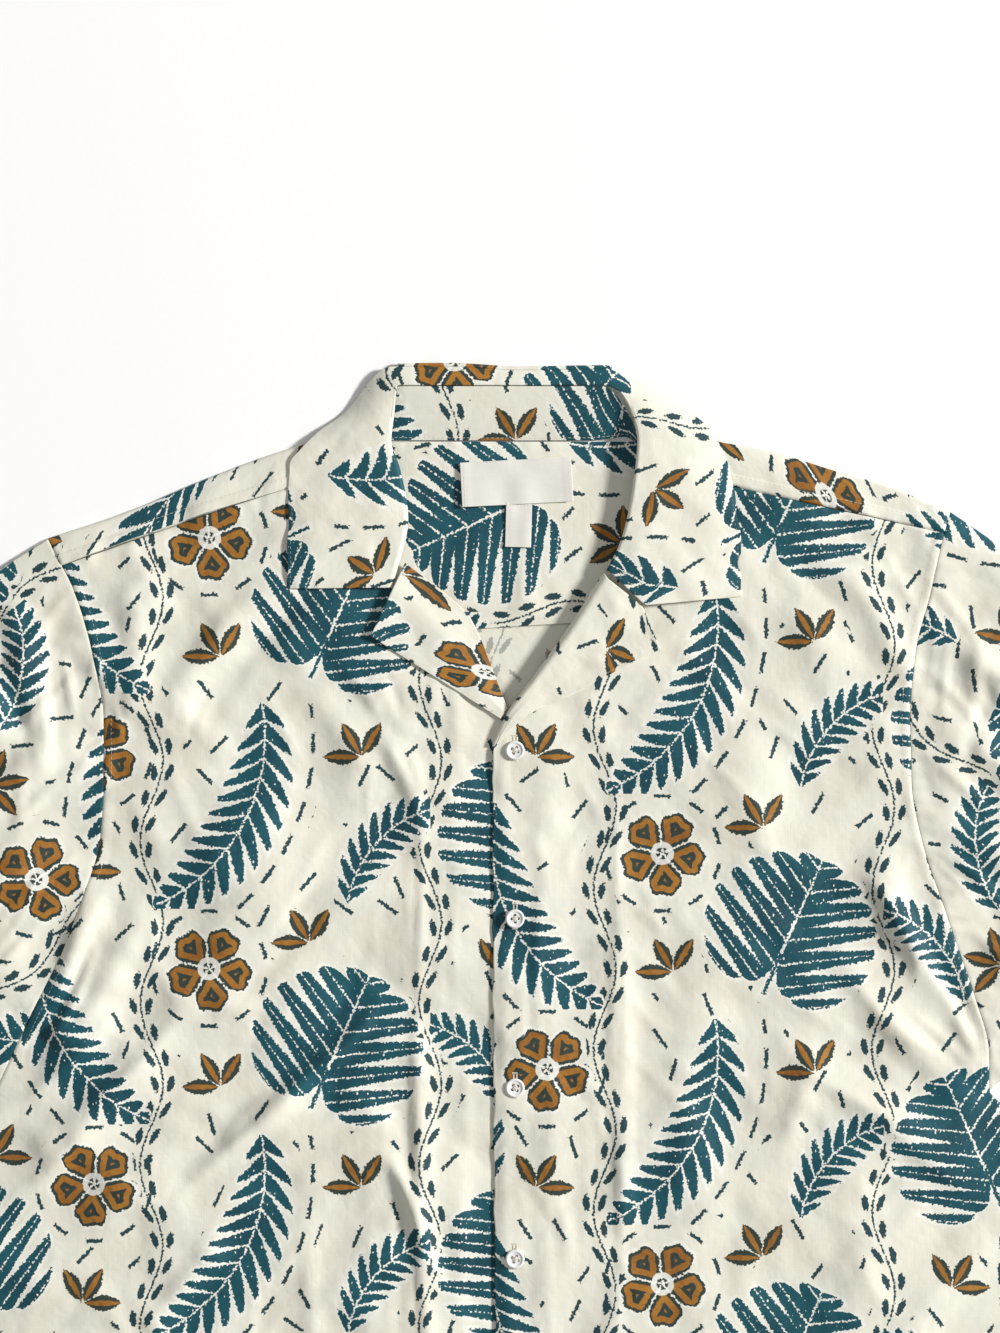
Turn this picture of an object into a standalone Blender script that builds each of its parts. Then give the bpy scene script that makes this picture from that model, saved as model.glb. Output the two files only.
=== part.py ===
"""A short-sleeved camp-collar shirt, buttoned from the V down and laid flat on its back.

+X is to the right of someone who looks down on it, +Y is towards the collar and +Z is up. The origin is on
the surface that it lies on, below the middle of its outline. Left and right in names are the wearer's, so the
wearer's left is at +X. Tables and sizes are in millimetres, and the meshes in metres.
"""
import math
from collections import namedtuple

import bpy
import numpy as np

MM = 0.001

CLOTH = 1.0  # wall of every cloth piece
SEAM = 0.3  # gap at a seam and between pieces that lie on each other
LAYER = CLOTH + SEAM  # from the middle of one layer to the middle of the next
FLOOR_LAYER = CLOTH / 2  # middle of a layer that lies on the floor
LINING_LAYER = FLOOR_LAYER + LAYER  # middle of the inner yoke
EDGE_LAYER = FLOOR_LAYER + 1.6  # middle of an upper layer at the shirt's own outline
LOFT = 2.3  # how much higher the upper layers lie away from the outline
ROUND = 9.0  # how fast they rise to that
OVERLAP_UP, OVERLAP_DOWN = 1.5, 1.3  # how far the upper and lower front leave that height at the buttons

Row = namedtuple("Row", "y neg pos")  # the body's edge at -X and at +X: side seam, underarm notch, armhole
BODY = [
    Row(-370, -276, 277), Row(-243, -280, 280), Row(-108, -282, 282), Row(-47, -280, 280),
    Row(-32, -275.5, 274.5), Row(-22, -270.5, 265.7), Row(2, -259, 264.6), Row(27, -247, 258),
    Row(53, -234, 249), Row(80, -224, 239.5), Row(113, -214, 229), Row(142, -212, 223.5),
    Row(178, -212, 222.5), Row(215, -218, 225.7), Row(245, -227, 233.3), Row(277, -243, 240.5),
    Row(290, -249, 244.6),
]
HEM_Y = BODY[0].y
NOTCH_Y = -22  # the underarm, where body and sleeve part
BACK_SEAM_Y = 231.5  # yoke to back
EDGE_YS = np.concatenate([  # heights up the body at which the pieces' edges have their points
    np.linspace(HEM_Y, -62, 18), [-47, -38, -31, NOTCH_Y, -12], np.linspace(2, BACK_SEAM_Y, 13),
    np.linspace(BACK_SEAM_Y, BODY[-1].y, 6)[1:]
])

Point = namedtuple("Point", "x y")
SHOULDER_NEG = [  # the fold of the yoke, from the armhole to the neck
    Point(-242, 275.4), Point(-199, 290), Point(-158, 307), Point(-113, 323.5), Point(-82, 332), Point(-60, 338.5)
]
SHOULDER_POS = [
    Point(83, 338.5), Point(117, 328.3), Point(148, 322.4), Point(182, 312), Point(208, 304.6), Point(234, 294.3),
    Point(244.6, 290)
]
NECK_NEG, NECK_POS, NECK_Y = -57, 80, 328  # the back neck seam
YOKE_SEAM_NEG = [Point(-235, 260.8), Point(-114.5, 301.9), Point(-60, 316.5)]  # armhole to neck, in front
YOKE_SEAM_POS = [Point(81, 314.8), Point(130, 302.9), Point(240.5, 278.6)]

SLEEVE_TOP_NEG = [Point(-242, 275.4), Point(-268.4, 258.7), Point(-322.4, 216.5), Point(-379, 166), Point(-434, 111)]
SLEEVE_TOP_POS = [Point(244.6, 290), Point(271.6, 271), Point(325.6, 225.2), Point(379.6, 169.6), Point(434, 108.5)]
SLEEVE_LOW_NEG = [Point(-270.5, -22), Point(-277.6, -17.8), Point(-288.9, -20), Point(-306.7, -28.6)]
SLEEVE_LOW_POS = [Point(265.7, -22), Point(273.2, -16.7), Point(285.1, -18.9), Point(304, -30.2)]

Inner = namedtuple("Inner", "y x")  # the inner edge of each front: button edge, then the V, then the neck
FRONT_RIGHT_EDGE = [
    Inner(-370, 22), Inner(150, 22), Inner(158, 20), Inner(170, 10), Inner(180, 0), Inner(221, -29),
    Inner(256, -57), Inner(286, -53), Inner(317, -58)
]
FRONT_LEFT_EDGE = [
    Inner(-370, 1), Inner(-135, -1), Inner(102, -2.2), Inner(161, -2.2), Inner(168, 1.5), Inner(178, 9.4),
    Inner(190, 18.4), Inner(221, 40), Inner(257.6, 63.8), Inner(275, 72), Inner(302, 79.4), Inner(316, 81.5)
]

Lapel = namedtuple("Lapel", "roll_x roll_y roll_z out_x out_y out_z under_z")  # the wearer's left, rolled over
LAPEL_LEFT = [
    Lapel(-2.4, 163.5, 7.6, 1.4, 166.2, 7.6, 4.6), Lapel(5.5, 181, 8.2, 17, 180.8, 7.5, 4.6),
    Lapel(21, 202.5, 9.2, 38, 190.2, 7.2, 4.0), Lapel(39, 228, 10.4, 66.4, 205.2, 6.4, 3.1),
    Lapel(57.4, 256.8, 11, 88, 216, 7.2, 3.1)
]
LAPEL_UNDER = 9.0  # width of its facing that is turned under
NOTCH_LEFT = Point(78.3, 239.6)  # where collar and lapel part
NOTCH_SHARE = 0.6  # how far out that is along the lapel's top edge

Open = namedtuple("Open", "out_x out_y out_z in_x in_y in_z")  # the wearer's right lapel, which lies open
LAPEL_RIGHT = [
    Open(1.8, 178.4, 5.4, 5.6, 184, 4.7), Open(-30.8, 199.3, 6.1, -2.7, 205.7, 3.7),
    Open(-52.4, 212.8, 6.6, -14.6, 233.3, 3.5), Open(-68, 223, 8.6, -49.5, 262.5, 5.4)
]

Station = namedtuple("Station", "in_x in_y in_z out_x out_y out_z swell")  # the collar, point to point
COLLAR = [
    Station(-56.7, 249, 6.6, -112.3, 248.4, 6.2, 1.2), Station(-48.1, 285.7, 6.8, -112.3, 283, 6.2, 1.6),
    Station(-52.4, 312.7, 7.0, -111.2, 314.8, 5.6, 1.6), Station(-57.2, 327.8, 7.2, -101, 328.5, 3.6, 1.8),
    Station(-55.6, 342.4, 7.4, -82.1, 343.5, 1.4, 2.2), Station(-53.5, 358, 7.4, -56.7, 368, 4.0, 0.5),
    Station(-25.4, 358, 7.6, -25.4, 368, 4.2, 0.5), Station(13, 358, 7.6, 13, 366.1, 4.4, 0.5),
    Station(55.6, 358, 8.0, 57.2, 366.6, 4.6, 0.5), Station(65.5, 354.8, 9.0, 70.7, 361.8, 3.8, 0.8),
    Station(75.6, 328.9, 11.2, 116.1, 332.5, 3.8, 2.2), Station(72.9, 301.9, 12.2, 127.4, 301.9, 6.4, 1.6),
    Station(67, 274.9, 11.7, 130.7, 272.2, 6.2, 1.4), Station(58.9, 257.9, 10.7, 131.8, 244.1, 6.2, 1.2)
]
FALL_BEHIND = 25.0  # the collar's fall that is folded behind the back neck
FALL_FROM, FALL_TO = 5.1, 8.3  # between which stations
STAND = [  # from its seam to the yoke up to its seam to the fall
    Station(-59, 328.8, 1.9, -57.5, 357, 5.4, 0), Station(-48, 328.7, 1.9, -48, 357.4, 7.0, 0.2),
    Station(-25, 328.6, 1.9, -25.4, 357.4, 7.1, 0.3),
    Station(13, 328.5, 1.9, 13, 357.4, 7.1, 0.3), Station(50, 328.7, 2.0, 55.4, 357.4, 7.3, 0.3),
    Station(69, 330.5, 2.6, 64.4, 352, 7.8, 0.3), Station(78.6, 318, 3.2, 76.6, 324, 9.4, 0),
    Station(76.5, 300, 3.2, 74.6, 300, 10.4, 0), Station(70, 275, 3.2, 68.4, 275, 10.0, 0),
    Station(62, 260, 3.2, 60.6, 260, 9.0, 0)
]

INNER_YOKE_X, INNER_YOKE_TOP = (-76, 100), 327.6
INNER_YOKE_LOW, INNER_YOKE_TILT = 227.6, 0.06  # its lower edge at x 0, and how much that rises for each mm of x
Tab = namedtuple("Tab", "x y width height tilt")  # by its middle, tilted in degrees
FAN_X, FAN_Y = 14, 292  # where the creases in it start from
LABEL, CARE_TAB = Tab(10.6, 306, 60, 24, 3.0), Tab(11.6, 282, 14, 22.2, -1.5)

BUTTON_X = 9.7
BUTTON_YS = (161.5, 71, -20, -112, -204)
Turned = namedtuple("Turned", "r z")
BUTTON = [  # half of its section, from the middle of its back round the rim to the middle of its dish
    Turned(0, 0), Turned(3.7, 0), Turned(4.9, 0.6), Turned(5.15, 1.2), Turned(4.8, 2.1), Turned(4.1, 2.2),
    Turned(3.3, 1.6), Turned(0, 1.5)
]
BUTTON_SIDES = 16

FRONT_COLUMNS, BACK_COLUMNS, SLEEVE_COLUMNS, NECK_COLUMNS, SHOULDER_COLUMNS = 20, 5, 14, 7, 12  # of the meshes
SLANT_FROM = 60  # above this height the fronts' rows slant up to the neck

Fold = namedtuple("Fold", "x0 y0 x1 y1 width height bow")  # a soft ridge, or a trough if its height is negative
FOLDS = [
    # wearer's left front: chest, underarm, facing edge, then the loose lower panel
    Fold(144, 290, 214, 218, 9, 2.4, 5), Fold(186, 264, 222, 196, 7, 2.2, 3), Fold(152, 240, 184, 186, 10, 2.0, 4),
    Fold(196, 97, 221, 50, 6, 3.2, 4), Fold(203, 112, 250, 22, 9, 4.6, -6), Fold(178, 60, 258, -26, 10, 3.6, -8),
    Fold(150, 10, 258, -64, 12, 3.2, -6), Fold(172, 2, 152, -62, 7, 2.6, 0), Fold(65, 102, 66, -100, 6, 2.2, 2),
    Fold(69, -36, 68.6, -104, 5, 1.8, 0), Fold(118, 205, 146, 60, 20, 3.0, 5), Fold(112, 40, 104, -120, 16, 2.4, -6),
    Fold(192, -60, 190, -230, 14, 2.8, 5), Fold(150, -120, 170, -320, 22, 3.6, 8), Fold(90, -170, 80, -362, 15, 3.0, -4),
    Fold(228, -110, 236, -340, 16, 3.2, -4),
    # wearer's right front
    Fold(-92, 246, -160, 168, 8, -2.0, -10), Fold(-108, 256, -184, 172, 9, 2.4, -8), Fold(-104, 194, -70, 148, 8, 2.2, 3),
    Fold(-66, 150, -40, 26, 7, 2.2, 3), Fold(-43, 26, -40, -108, 6, 2.4, 1), Fold(-62, -52, -36, -132, 7, 2.6, 6),
    Fold(-206, 96, -238, 5, 8, 4.2, -5), Fold(-192, 84, -254, -28, 10, 3.6, 8), Fold(-160, 40, -258, -70, 12, 3.2, 8),
    Fold(-64, 20, -168, -70, 8, 3.0, 0), Fold(-196, 262, -186, 170, 9, 2.6, -4), Fold(-118, 150, -140, 40, 20, 3.0, -5),
    Fold(-146, -96, -192, -150, 9, 2.4, 3), Fold(-150, -150, -166, -330, 24, 3.6, -8),
    Fold(-72, -122, -78, -355, 14, 3.0, 5), Fold(-232, -120, -238, -345, 18, 3.2, 4),
    # sleeves
    Fold(238, 226, 306, 156, 9, 4.0, 5), Fold(232, 182, 316, 104, 10, 3.6, 6), Fold(238, 122, 334, 42, 10, 4.0, 8),
    Fold(264, 60, 330, -2, 9, 3.4, 6), Fold(304, 214, 388, 124, 12, 3.4, 4),
    Fold(-262, 242, -250, 134, 8, 3.2, 4), Fold(-236, 214, -304, 150, 9, 3.6, -5), Fold(-222, 172, -310, 96, 10, 3.6, -6),
    Fold(-228, 112, -330, 36, 10, 4.0, -8), Fold(-256, 60, -328, -2, 9, 3.4, -6), Fold(-304, 208, -384, 120, 12, 3.4, -4),
]

CREAM = (0.86, 0.82, 0.70, 1)
PEARL = (0.88, 0.87, 0.84, 1)
LABEL_WHITE = (0.80, 0.79, 0.74, 1)


# ---- curves and surfaces

def smooth(knots, values, at):
    """A smooth curve through the values, which doesn't swing past them. values may hold several columns."""
    knots, values = np.asarray(knots, float), np.asarray(values, float)
    at = np.asarray(at, float)
    if values.ndim > 1:
        return np.stack([smooth(knots, column, at) for column in values.T], -1)
    step = np.diff(knots)
    slope = np.diff(values) / step
    before, after = slope[:-1], slope[1:]
    total = np.where(before * after > 0, before + after, 1)
    middle = np.where(before * after > 0, 2 * before * after / total, 0)
    tangent = np.concatenate([slope[:1], middle, slope[-1:]])
    i = np.clip(np.searchsorted(knots, at, side="right") - 1, 0, len(step) - 1)
    t = (at - knots[i]) / step[i]
    rise = values[i + 1] - values[i]
    bend_in = tangent[i] * step[i] - rise
    bend_out = rise - tangent[i + 1] * step[i]
    return values[i] + rise * t + t * (1 - t) * (bend_in * (1 - t) + bend_out * t)


def along(points, at):
    """The place at 0 to 1 of the way along a curve through the points."""
    points = np.asarray(points, float)
    way = np.concatenate([[0], np.cumsum(np.linalg.norm(np.diff(points[:, :2], axis=0), axis=1))])
    return smooth(way / way[-1], points, at)


def mix(a, b, share):
    return a + (b - a) * share


def step_up(low, high, value):
    t = np.clip((value - low) / (high - low), 0, 1)
    return t * t * (3 - 2 * t)


def body_edge(y, side):
    """The x of the body's edge at each y, on the side -1 or 1."""
    edge = [row.pos if side > 0 else row.neg for row in BODY]
    return smooth([row.y for row in BODY], edge, np.minimum(y, BODY[-1].y))


def rows_up(low, high):
    """Heights up the body that every piece shares, closer together round the underarm."""
    inside = EDGE_YS[(EDGE_YS > low + 4) & (EDGE_YS < high - 4)]
    return np.concatenate([[low], inside, [high]])


def patch(first, last, low, high, u, v):
    """Points of a Coons patch in plan. first and last run along v, low and high along u."""
    u, v = u[:, None, None], v[None, :, None]
    first, last, low, high = first[None], last[None], low[:, None], high[:, None]
    corners = mix(mix(first[:, :1], first[:, -1:], v), mix(last[:, :1], last[:, -1:], v), u)
    return mix(first, last, u) + mix(low, high, v) - corners


def outline_segments():
    """The shirt's outline in plan, but for the neck, as the ends of its segments."""
    t = np.linspace(0, 1, 13)
    ys = np.concatenate([np.linspace(HEM_Y, -60, 6), np.linspace(-47, NOTCH_Y, 5)])
    starts, ends = [], []
    for side, shoulder, top, low in (
        (-1, SHOULDER_NEG, SLEEVE_TOP_NEG, SLEEVE_LOW_NEG), (1, SHOULDER_POS[::-1], SLEEVE_TOP_POS, SLEEVE_LOW_POS),
    ):
        runs = (
            along(shoulder, t), along(top, t), np.array([top[-1], low[-1]]), along(low, t),
            np.stack([body_edge(ys, side), ys], -1), np.array([(0, HEM_Y), (side * 277, HEM_Y)]),
        )
        starts += [run[:-1] for run in runs]
        ends += [run[1:] for run in runs]
    return np.concatenate(starts), np.concatenate(ends)


STARTS, ENDS = outline_segments()


def from_outline(x, y):
    """The distance of each place to the shirt's outline."""
    place = np.stack([x, y], -1)[..., None, :]
    run = ENDS - STARTS
    share = np.clip(((place - STARTS) * run).sum(-1) / (run * run).sum(-1), 0, 1)
    return np.linalg.norm(place - STARTS - share[..., None] * run, axis=-1).min(-1)


def fold_height(fold, x, y):
    run = np.array([fold.x1 - fold.x0, fold.y1 - fold.y0])
    length = np.linalg.norm(run)
    run = run / length
    at = np.clip(((x - fold.x0) * run[0] + (y - fold.y0) * run[1]) / length, 0, 1)
    aside = (y - fold.y0) * run[0] - (x - fold.x0) * run[1] - 4 * fold.bow * at * (1 - at)
    return fold.height * np.sin(math.pi * at) ** 0.8 * np.exp(-((aside / fold.width) ** 2))


def top_height(x, y):
    """The middle of the upper layer of cloth: fronts, yoke strips and the upper halves of the sleeves."""
    rise = 1 - np.exp(-from_outline(x, y) / ROUND)
    folds = sum(fold_height(fold, x, y) for fold in FOLDS)
    return EDGE_LAYER + rise * (LOFT + folds)


def front_right_height(x, y):
    return np.maximum(top_height(x, y) - OVERLAP_DOWN * step_up(-24, -6, x), LINING_LAYER)


def front_left_height(x, y):
    return top_height(x, y) + OVERLAP_UP * (1 - step_up(26, 44, x))


def lift(plan, height):
    """Adds the height to places in plan."""
    return np.concatenate([plan, height(plan[..., 0], plan[..., 1])[..., None]], -1)


def upward(plan, height, reach=1.0):
    """The normals of a height over places in plan."""
    x, y = plan[..., 0], plan[..., 1]
    slope_x = (height(x + reach, y) - height(x - reach, y)) / (2 * reach)
    slope_y = (height(x, y + reach) - height(x, y - reach)) / (2 * reach)
    normal = np.stack([-slope_x, -slope_y, np.ones_like(slope_x)], -1)
    return normal / np.linalg.norm(normal, axis=-1, keepdims=True)


def level(z):
    return lambda x, y: np.full(np.shape(x), float(z))


# ---- solids

def grid_normals(middle, ring=False):
    padded = np.concatenate([middle[:, -1:], middle, middle[:, :1]], 1) if ring else middle
    down, sideways = np.gradient(middle, axis=0), np.gradient(padded, axis=1)
    normal = np.cross(down, sideways[:, 1:-1] if ring else sideways)
    return normal / np.maximum(np.linalg.norm(normal, axis=-1, keepdims=True), 1e-9)


def wall(middle, keep=None, ring=False, normal=None):
    """Vertices and faces of a closed wall round a grid of points, of which keep tells the cells that are built.

    In a ring the grid's last column is joined to its first.
    """
    count, width = middle.shape[:2]
    normal = grid_normals(middle, ring) if normal is None else normal
    points = np.concatenate([(middle + side * normal * CLOTH / 2).reshape(-1, 3) for side in (1, -1)])
    cells = (count - 1, width if ring else width - 1)
    keep = np.ones(cells, bool) if keep is None else keep
    below = count * width
    faces = []
    for i, j in zip(*np.nonzero(keep)):
        k = (j + 1) % width
        corner = [i * width + j, (i + 1) * width + j, (i + 1) * width + k, i * width + k]
        for a, b, c in (corner[:3], (corner[0], *corner[2:])):
            faces += [(a, b, c), (c + below, b + below, a + below)]
        beside = ((i, j - 1), (i + 1, j), (i, j + 1), (i - 1, j))
        for n, (a, b) in enumerate(beside):
            if ring:
                b %= width
            if 0 <= a < cells[0] and 0 <= b < cells[1] and keep[a, b]:
                continue
            first, second = corner[n], corner[(n + 1) % 4]
            faces += [(second, first, first + below), (second, first + below, second + below)]
    used, place = np.unique(np.array(faces), return_inverse=True)
    return points[used] * MM, place.reshape(-1, 3).tolist()


def turned(profile, sides):
    """A solid of revolution that is closed at both ends of its profile."""
    points = [(0, 0, profile[0].z)]
    for corner in profile[1:-1]:
        for n in range(sides):
            angle = 2 * math.pi * n / sides
            points.append((corner.r * math.cos(angle), corner.r * math.sin(angle), corner.z))
    points.append((0, 0, profile[-1].z))
    rings, last = len(profile) - 2, len(points) - 1
    faces = []
    for n in range(sides):
        m = (n + 1) % sides
        faces.append((0, 1 + m, 1 + n))
        for ring in range(rings - 1):
            here, above = 1 + ring * sides, 1 + (ring + 1) * sides
            faces.append((here + n, here + m, above + m, above + n))
        top = 1 + (rings - 1) * sides
        faces.append((top + n, top + m, last))
    return np.array(points) * MM, faces


def material(name, color, roughness):
    made = bpy.data.materials.new(name)
    made.use_nodes = True
    shader = made.node_tree.nodes["Principled BSDF"]
    shader.inputs["Base Color"].default_value = color
    shader.inputs["Roughness"].default_value = roughness
    shader.inputs["Metallic"].default_value = 0
    return made


def add(name, shape, surface):
    points, faces = shape
    mesh = bpy.data.meshes.new(name)
    mesh.from_pydata([tuple(map(float, p)) for p in points], [], faces)
    mesh.materials.append(surface)
    mesh.shade_smooth()
    mesh.set_sharp_from_angle(angle=math.radians(50))
    made = bpy.data.objects.new(name, mesh)
    bpy.context.collection.objects.link(made)
    return made


# ---- pieces

def faced_up(plan, height, keep=None):
    """A wall on the plan, whose rows go up the body and whose columns go towards +X."""
    middle, normal = lift(plan, height), upward(plan, height)
    return wall(middle[:, ::-1], keep, normal=normal[:, ::-1])


def across(edges, columns):
    return mix(edges[0][:, None], edges[1][:, None], np.linspace(0, 1, columns)[None, :, None])


def front(edge, side, seam, height):
    """A front from its button edge to its side seam and armhole, up to the yoke seam."""
    seam_x, seam_y = [p.x for p in seam], [p.y for p in seam]
    end_y = (seam_y[0] if side < 0 else seam_y[-1]) - SEAM / 2
    outer_y = rows_up(HEM_Y, end_y)
    slant = np.maximum(outer_y - SLANT_FROM, 0) / (end_y - SLANT_FROM)
    inner_y = np.where(outer_y < SLANT_FROM, outer_y, mix(SLANT_FROM, edge[-1].y, slant))
    inner = np.stack([smooth([r.y for r in edge], [r.x for r in edge], inner_y), inner_y], -1)
    outer = np.stack([body_edge(outer_y, side) - side * SEAM / 2, outer_y], -1)
    plan = across((outer, inner) if side < 0 else (inner, outer), FRONT_COLUMNS)
    plan[..., 1] += slant[:, None] ** 3 * (smooth(seam_x, seam_y, plan[-1, :, 0]) - SEAM / 2 - plan[-1, :, 1])
    return faced_up(plan, height)


def back():
    y = rows_up(HEM_Y, BACK_SEAM_Y - SEAM / 2)
    edges = [np.stack([body_edge(y, side) - side * SEAM / 2, y], -1) for side in (-1, 1)]
    return faced_up(across(edges, BACK_COLUMNS), level(FLOOR_LAYER))


def yoke():
    """Its columns run across the body from armhole to armhole, and its rows from the back seam up, round the
    shoulder fold and down to the front seam."""
    def share(points):
        low, high = (body_edge([p.y for p in points], side) for side in (-1, 1))
        return (np.array([p.x for p in points]) - low) / (high - low)

    sides = []
    for fold, seam in ((SHOULDER_NEG, YOKE_SEAM_NEG), (SHOULDER_POS, YOKE_SEAM_POS)):
        ends = share(fold)
        u = np.linspace(ends[0], ends[-1], SHOULDER_COLUMNS)
        u[0], u[-1] = (0, u[-1]) if fold is SHOULDER_NEG else (u[0], 1)
        seam_ends = share(seam)
        fold_y = smooth(ends, [p.y for p in fold], u)
        seam_y = smooth(seam_ends, [p.y for p in seam], np.clip(u, seam_ends[0], seam_ends[-1]))
        sides.append((u, fold_y, seam_y))
    neck_u = share([Point(x, NECK_Y) for x in np.linspace(NECK_NEG, NECK_POS, NECK_COLUMNS)])
    u = np.concatenate([sides[0][0], neck_u, sides[1][0]])
    fold_y = np.concatenate([sides[0][1], np.full(NECK_COLUMNS, float(NECK_Y)), sides[1][1]])
    seam_y = np.concatenate([sides[0][2], np.full(NECK_COLUMNS, NECK_Y - 10.0), sides[1][2]])
    # Round the fold the cloth turns over in a half circle, and then the strip rises to the upper layer.
    turn = (EDGE_LAYER - FLOOR_LAYER) / 2
    rows = [(mix(BACK_SEAM_Y + SEAM / 2, fold_y - turn, part), FLOOR_LAYER) for part in (0, 0.35, 0.7, 0.92)]
    back_rows = len(rows)
    for angle in (-90, -20, 45):
        a = math.radians(angle)
        rows.append((fold_y - turn + turn * math.cos(a), FLOOR_LAYER + turn + turn * math.sin(a)))
    for part in (0.06, 0.35, 0.68, 1):
        rows.append((mix(fold_y - turn, seam_y + SEAM / 2, part), None))
    grid = np.zeros((len(rows), len(u), 3))
    for row, (y, z) in zip(grid, rows):
        row[:, 0] = mix(body_edge(y, -1) + 2 * SEAM, body_edge(y, 1) - 2 * SEAM, u)
        row[:, 1] = y
        row[:, 2] = top_height(row[:, 0], y) if z is None else z
    keep = np.ones((len(rows) - 1, len(u) - 1), bool)
    ends = len(sides[0][0])
    keep[back_rows:, ends - 1:ends + NECK_COLUMNS] = False  # no strip at the neck
    return wall(grid[:, ::-1], keep[:, ::-1])


def inner_yoke_low(x):
    return INNER_YOKE_LOW + INNER_YOKE_TILT * x


def inner_yoke():
    x, share = np.meshgrid(np.linspace(*INNER_YOKE_X, 15), np.linspace(0, 1, 10))
    return faced_up(np.stack([x, mix(inner_yoke_low(x), INNER_YOKE_TOP, share)], -1), inner_yoke_height)


def inner_yoke_height(x, y):
    """Flat under the label and the fronts, with creases that fan out below the label."""
    turn = np.arctan2(x - FAN_X, FAN_Y - y)
    creases = 0.45 * (1 + np.cos(7 * turn)) * (1 - step_up(244, 268, y)) * step_up(0, 11, y - inner_yoke_low(x))
    return LINING_LAYER + creases * (1 - step_up(14, 30, np.abs(x - FAN_X)))


def sleeve(side, top, low):
    """A flattened tube between the armhole and the cuff, open at both."""
    u = np.linspace(0, 1, SLEEVE_COLUMNS)
    arm_y = rows_up(NOTCH_Y, top[0].y)
    v = (arm_y - arm_y[0]) / (arm_y[-1] - arm_y[0])
    arm = np.stack([body_edge(arm_y, side) + side * SEAM / 2, arm_y], -1)
    top_edge, low_edge = along(top, u), along(low, u)
    for edge, corner in ((top_edge, arm[-1]), (low_edge, arm[0])):
        edge += (corner - edge[0]) * (1 - u)[:, None]
    cuff = mix(np.array(low[-1])[None], np.array(top[-1])[None], v[:, None])
    plan = patch(arm, cuff, low_edge, top_edge, u, v)
    # The cloth turns over a little inside the outline, in a half circle at each edge.
    turn = (EDGE_LAYER - FLOOR_LAYER) / 2
    out = plan[:, -1] - plan[:, 0]
    out /= np.linalg.norm(out, axis=-1, keepdims=True)
    plan[:, 0] += out * (CLOTH / 2 + turn)
    plan[:, -1] -= out * (CLOTH / 2 + turn)
    bends = []
    for end, toward, angles in ((plan[:, -1], out, (-30, 30)), (plan[:, 0], -out, (30, -30))):
        turned_over = []
        for angle in np.radians(angles):
            place = end + toward * turn * math.cos(angle)
            turned_over.append(lift(place, level(FLOOR_LAYER + turn * (1 + math.sin(angle)))))
        bends.append(np.stack(turned_over, 1))
    over = plan[:, ::-1]
    ring = np.concatenate([lift(plan, level(FLOOR_LAYER)), bends[0], lift(over, top_height), bends[1]], 1)
    normal = grid_normals(ring, ring=True) * (1 if side < 0 else -1)
    first = len(v) + 2
    normal[:, first + 1:first + len(v) - 1] = upward(over, top_height)[:, 1:-1]
    if side > 0:
        ring, normal = ring[:, ::-1], normal[:, ::-1]
    return wall(ring, ring=True, normal=normal)


def facing_left():
    """The lapel that is rolled over: a strip turned under the front, round the roll and out over it."""
    table = np.array(LAPEL_LEFT)
    rows = along(table, np.linspace(0, 1, 11))
    roll, out = rows[:, :2], rows[:, 3:5]
    roll_z, out_z, under_z = rows[:, 2], rows[:, 5], rows[:, 6]
    run = out - roll
    width = np.linalg.norm(run, axis=-1)
    toward = run / width[:, None]
    toward = np.where(width[:, None] > 6, toward, (0.9, 0.436))
    turn = (roll_z - under_z) / 2
    section = [(turn + part * LAPEL_UNDER, under_z) for part in (1, 0.5, 0)]
    for angle in (-45, 0, 45):
        a = math.radians(angle)
        section.append((turn - turn * math.cos(a), under_z + turn + turn * math.sin(a)))
    first_out, parts = len(section), np.array([0, 0.2, 0.45, 0.72, 1])
    for part in parts:
        reach = mix(turn, np.maximum(width, turn + 1.6), part)
        section.append((reach, mix(roll_z, out_z, step_up(0, 1, part) * 0.4 + part * 0.6)))
    grid = np.zeros((len(rows), len(section), 3))
    for j, (reach, z) in enumerate(section):
        grid[:, j, :2] = roll + toward * reach[:, None]
        grid[:, j, 2] = z
    # The top edge bends at the notch, where the seam to the collar ends.
    bend = np.interp(parts, (0, NOTCH_SHARE, 1), (0, 1, 0))[None, :, None]
    straight = mix(grid[-1, first_out, :2], grid[-1, -1, :2], NOTCH_SHARE)
    fade = (np.linspace(0, 1, len(rows)) ** 4)[:, None, None]
    grid[:, first_out:, :2] += fade * bend * (np.array(NOTCH_LEFT) - (SEAM, SEAM) - straight)
    return wall(grid[:, ::-1])


def facing_right():
    """The lapel that lies open, from its outer edge to the free edge that rests on the inner yoke."""
    rows = along(np.array(LAPEL_RIGHT), np.linspace(0, 1, 12))
    share = np.linspace(0, 1, 8)
    plan = mix(rows[:, None, 0:2], rows[:, None, 3:5], share[None, :, None])
    height = mix(rows[:, None, 2], rows[:, None, 5], step_up(0.55, 1, share)[None])
    return wall(np.concatenate([plan, height[..., None]], -1))


def banded(stations, count, shares):
    """A strip between the inner and outer ends of its stations, which swells in between."""
    table = np.array(stations)
    middle = (table[:, :2] + table[:, 3:5]) / 2
    way = np.concatenate([[0], np.cumsum(np.linalg.norm(np.diff(middle, axis=0), axis=1))])
    index = np.interp(np.linspace(0, way[-1], count), way, np.arange(len(table)))
    rows = smooth(np.arange(len(table)), table, index)
    part = shares[None, :, None]
    grid = mix(rows[:, None, :3], rows[:, None, 3:6], part)
    grid[..., 2] += rows[:, 6:7] * 4 * shares * (1 - shares)
    return grid, index


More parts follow.
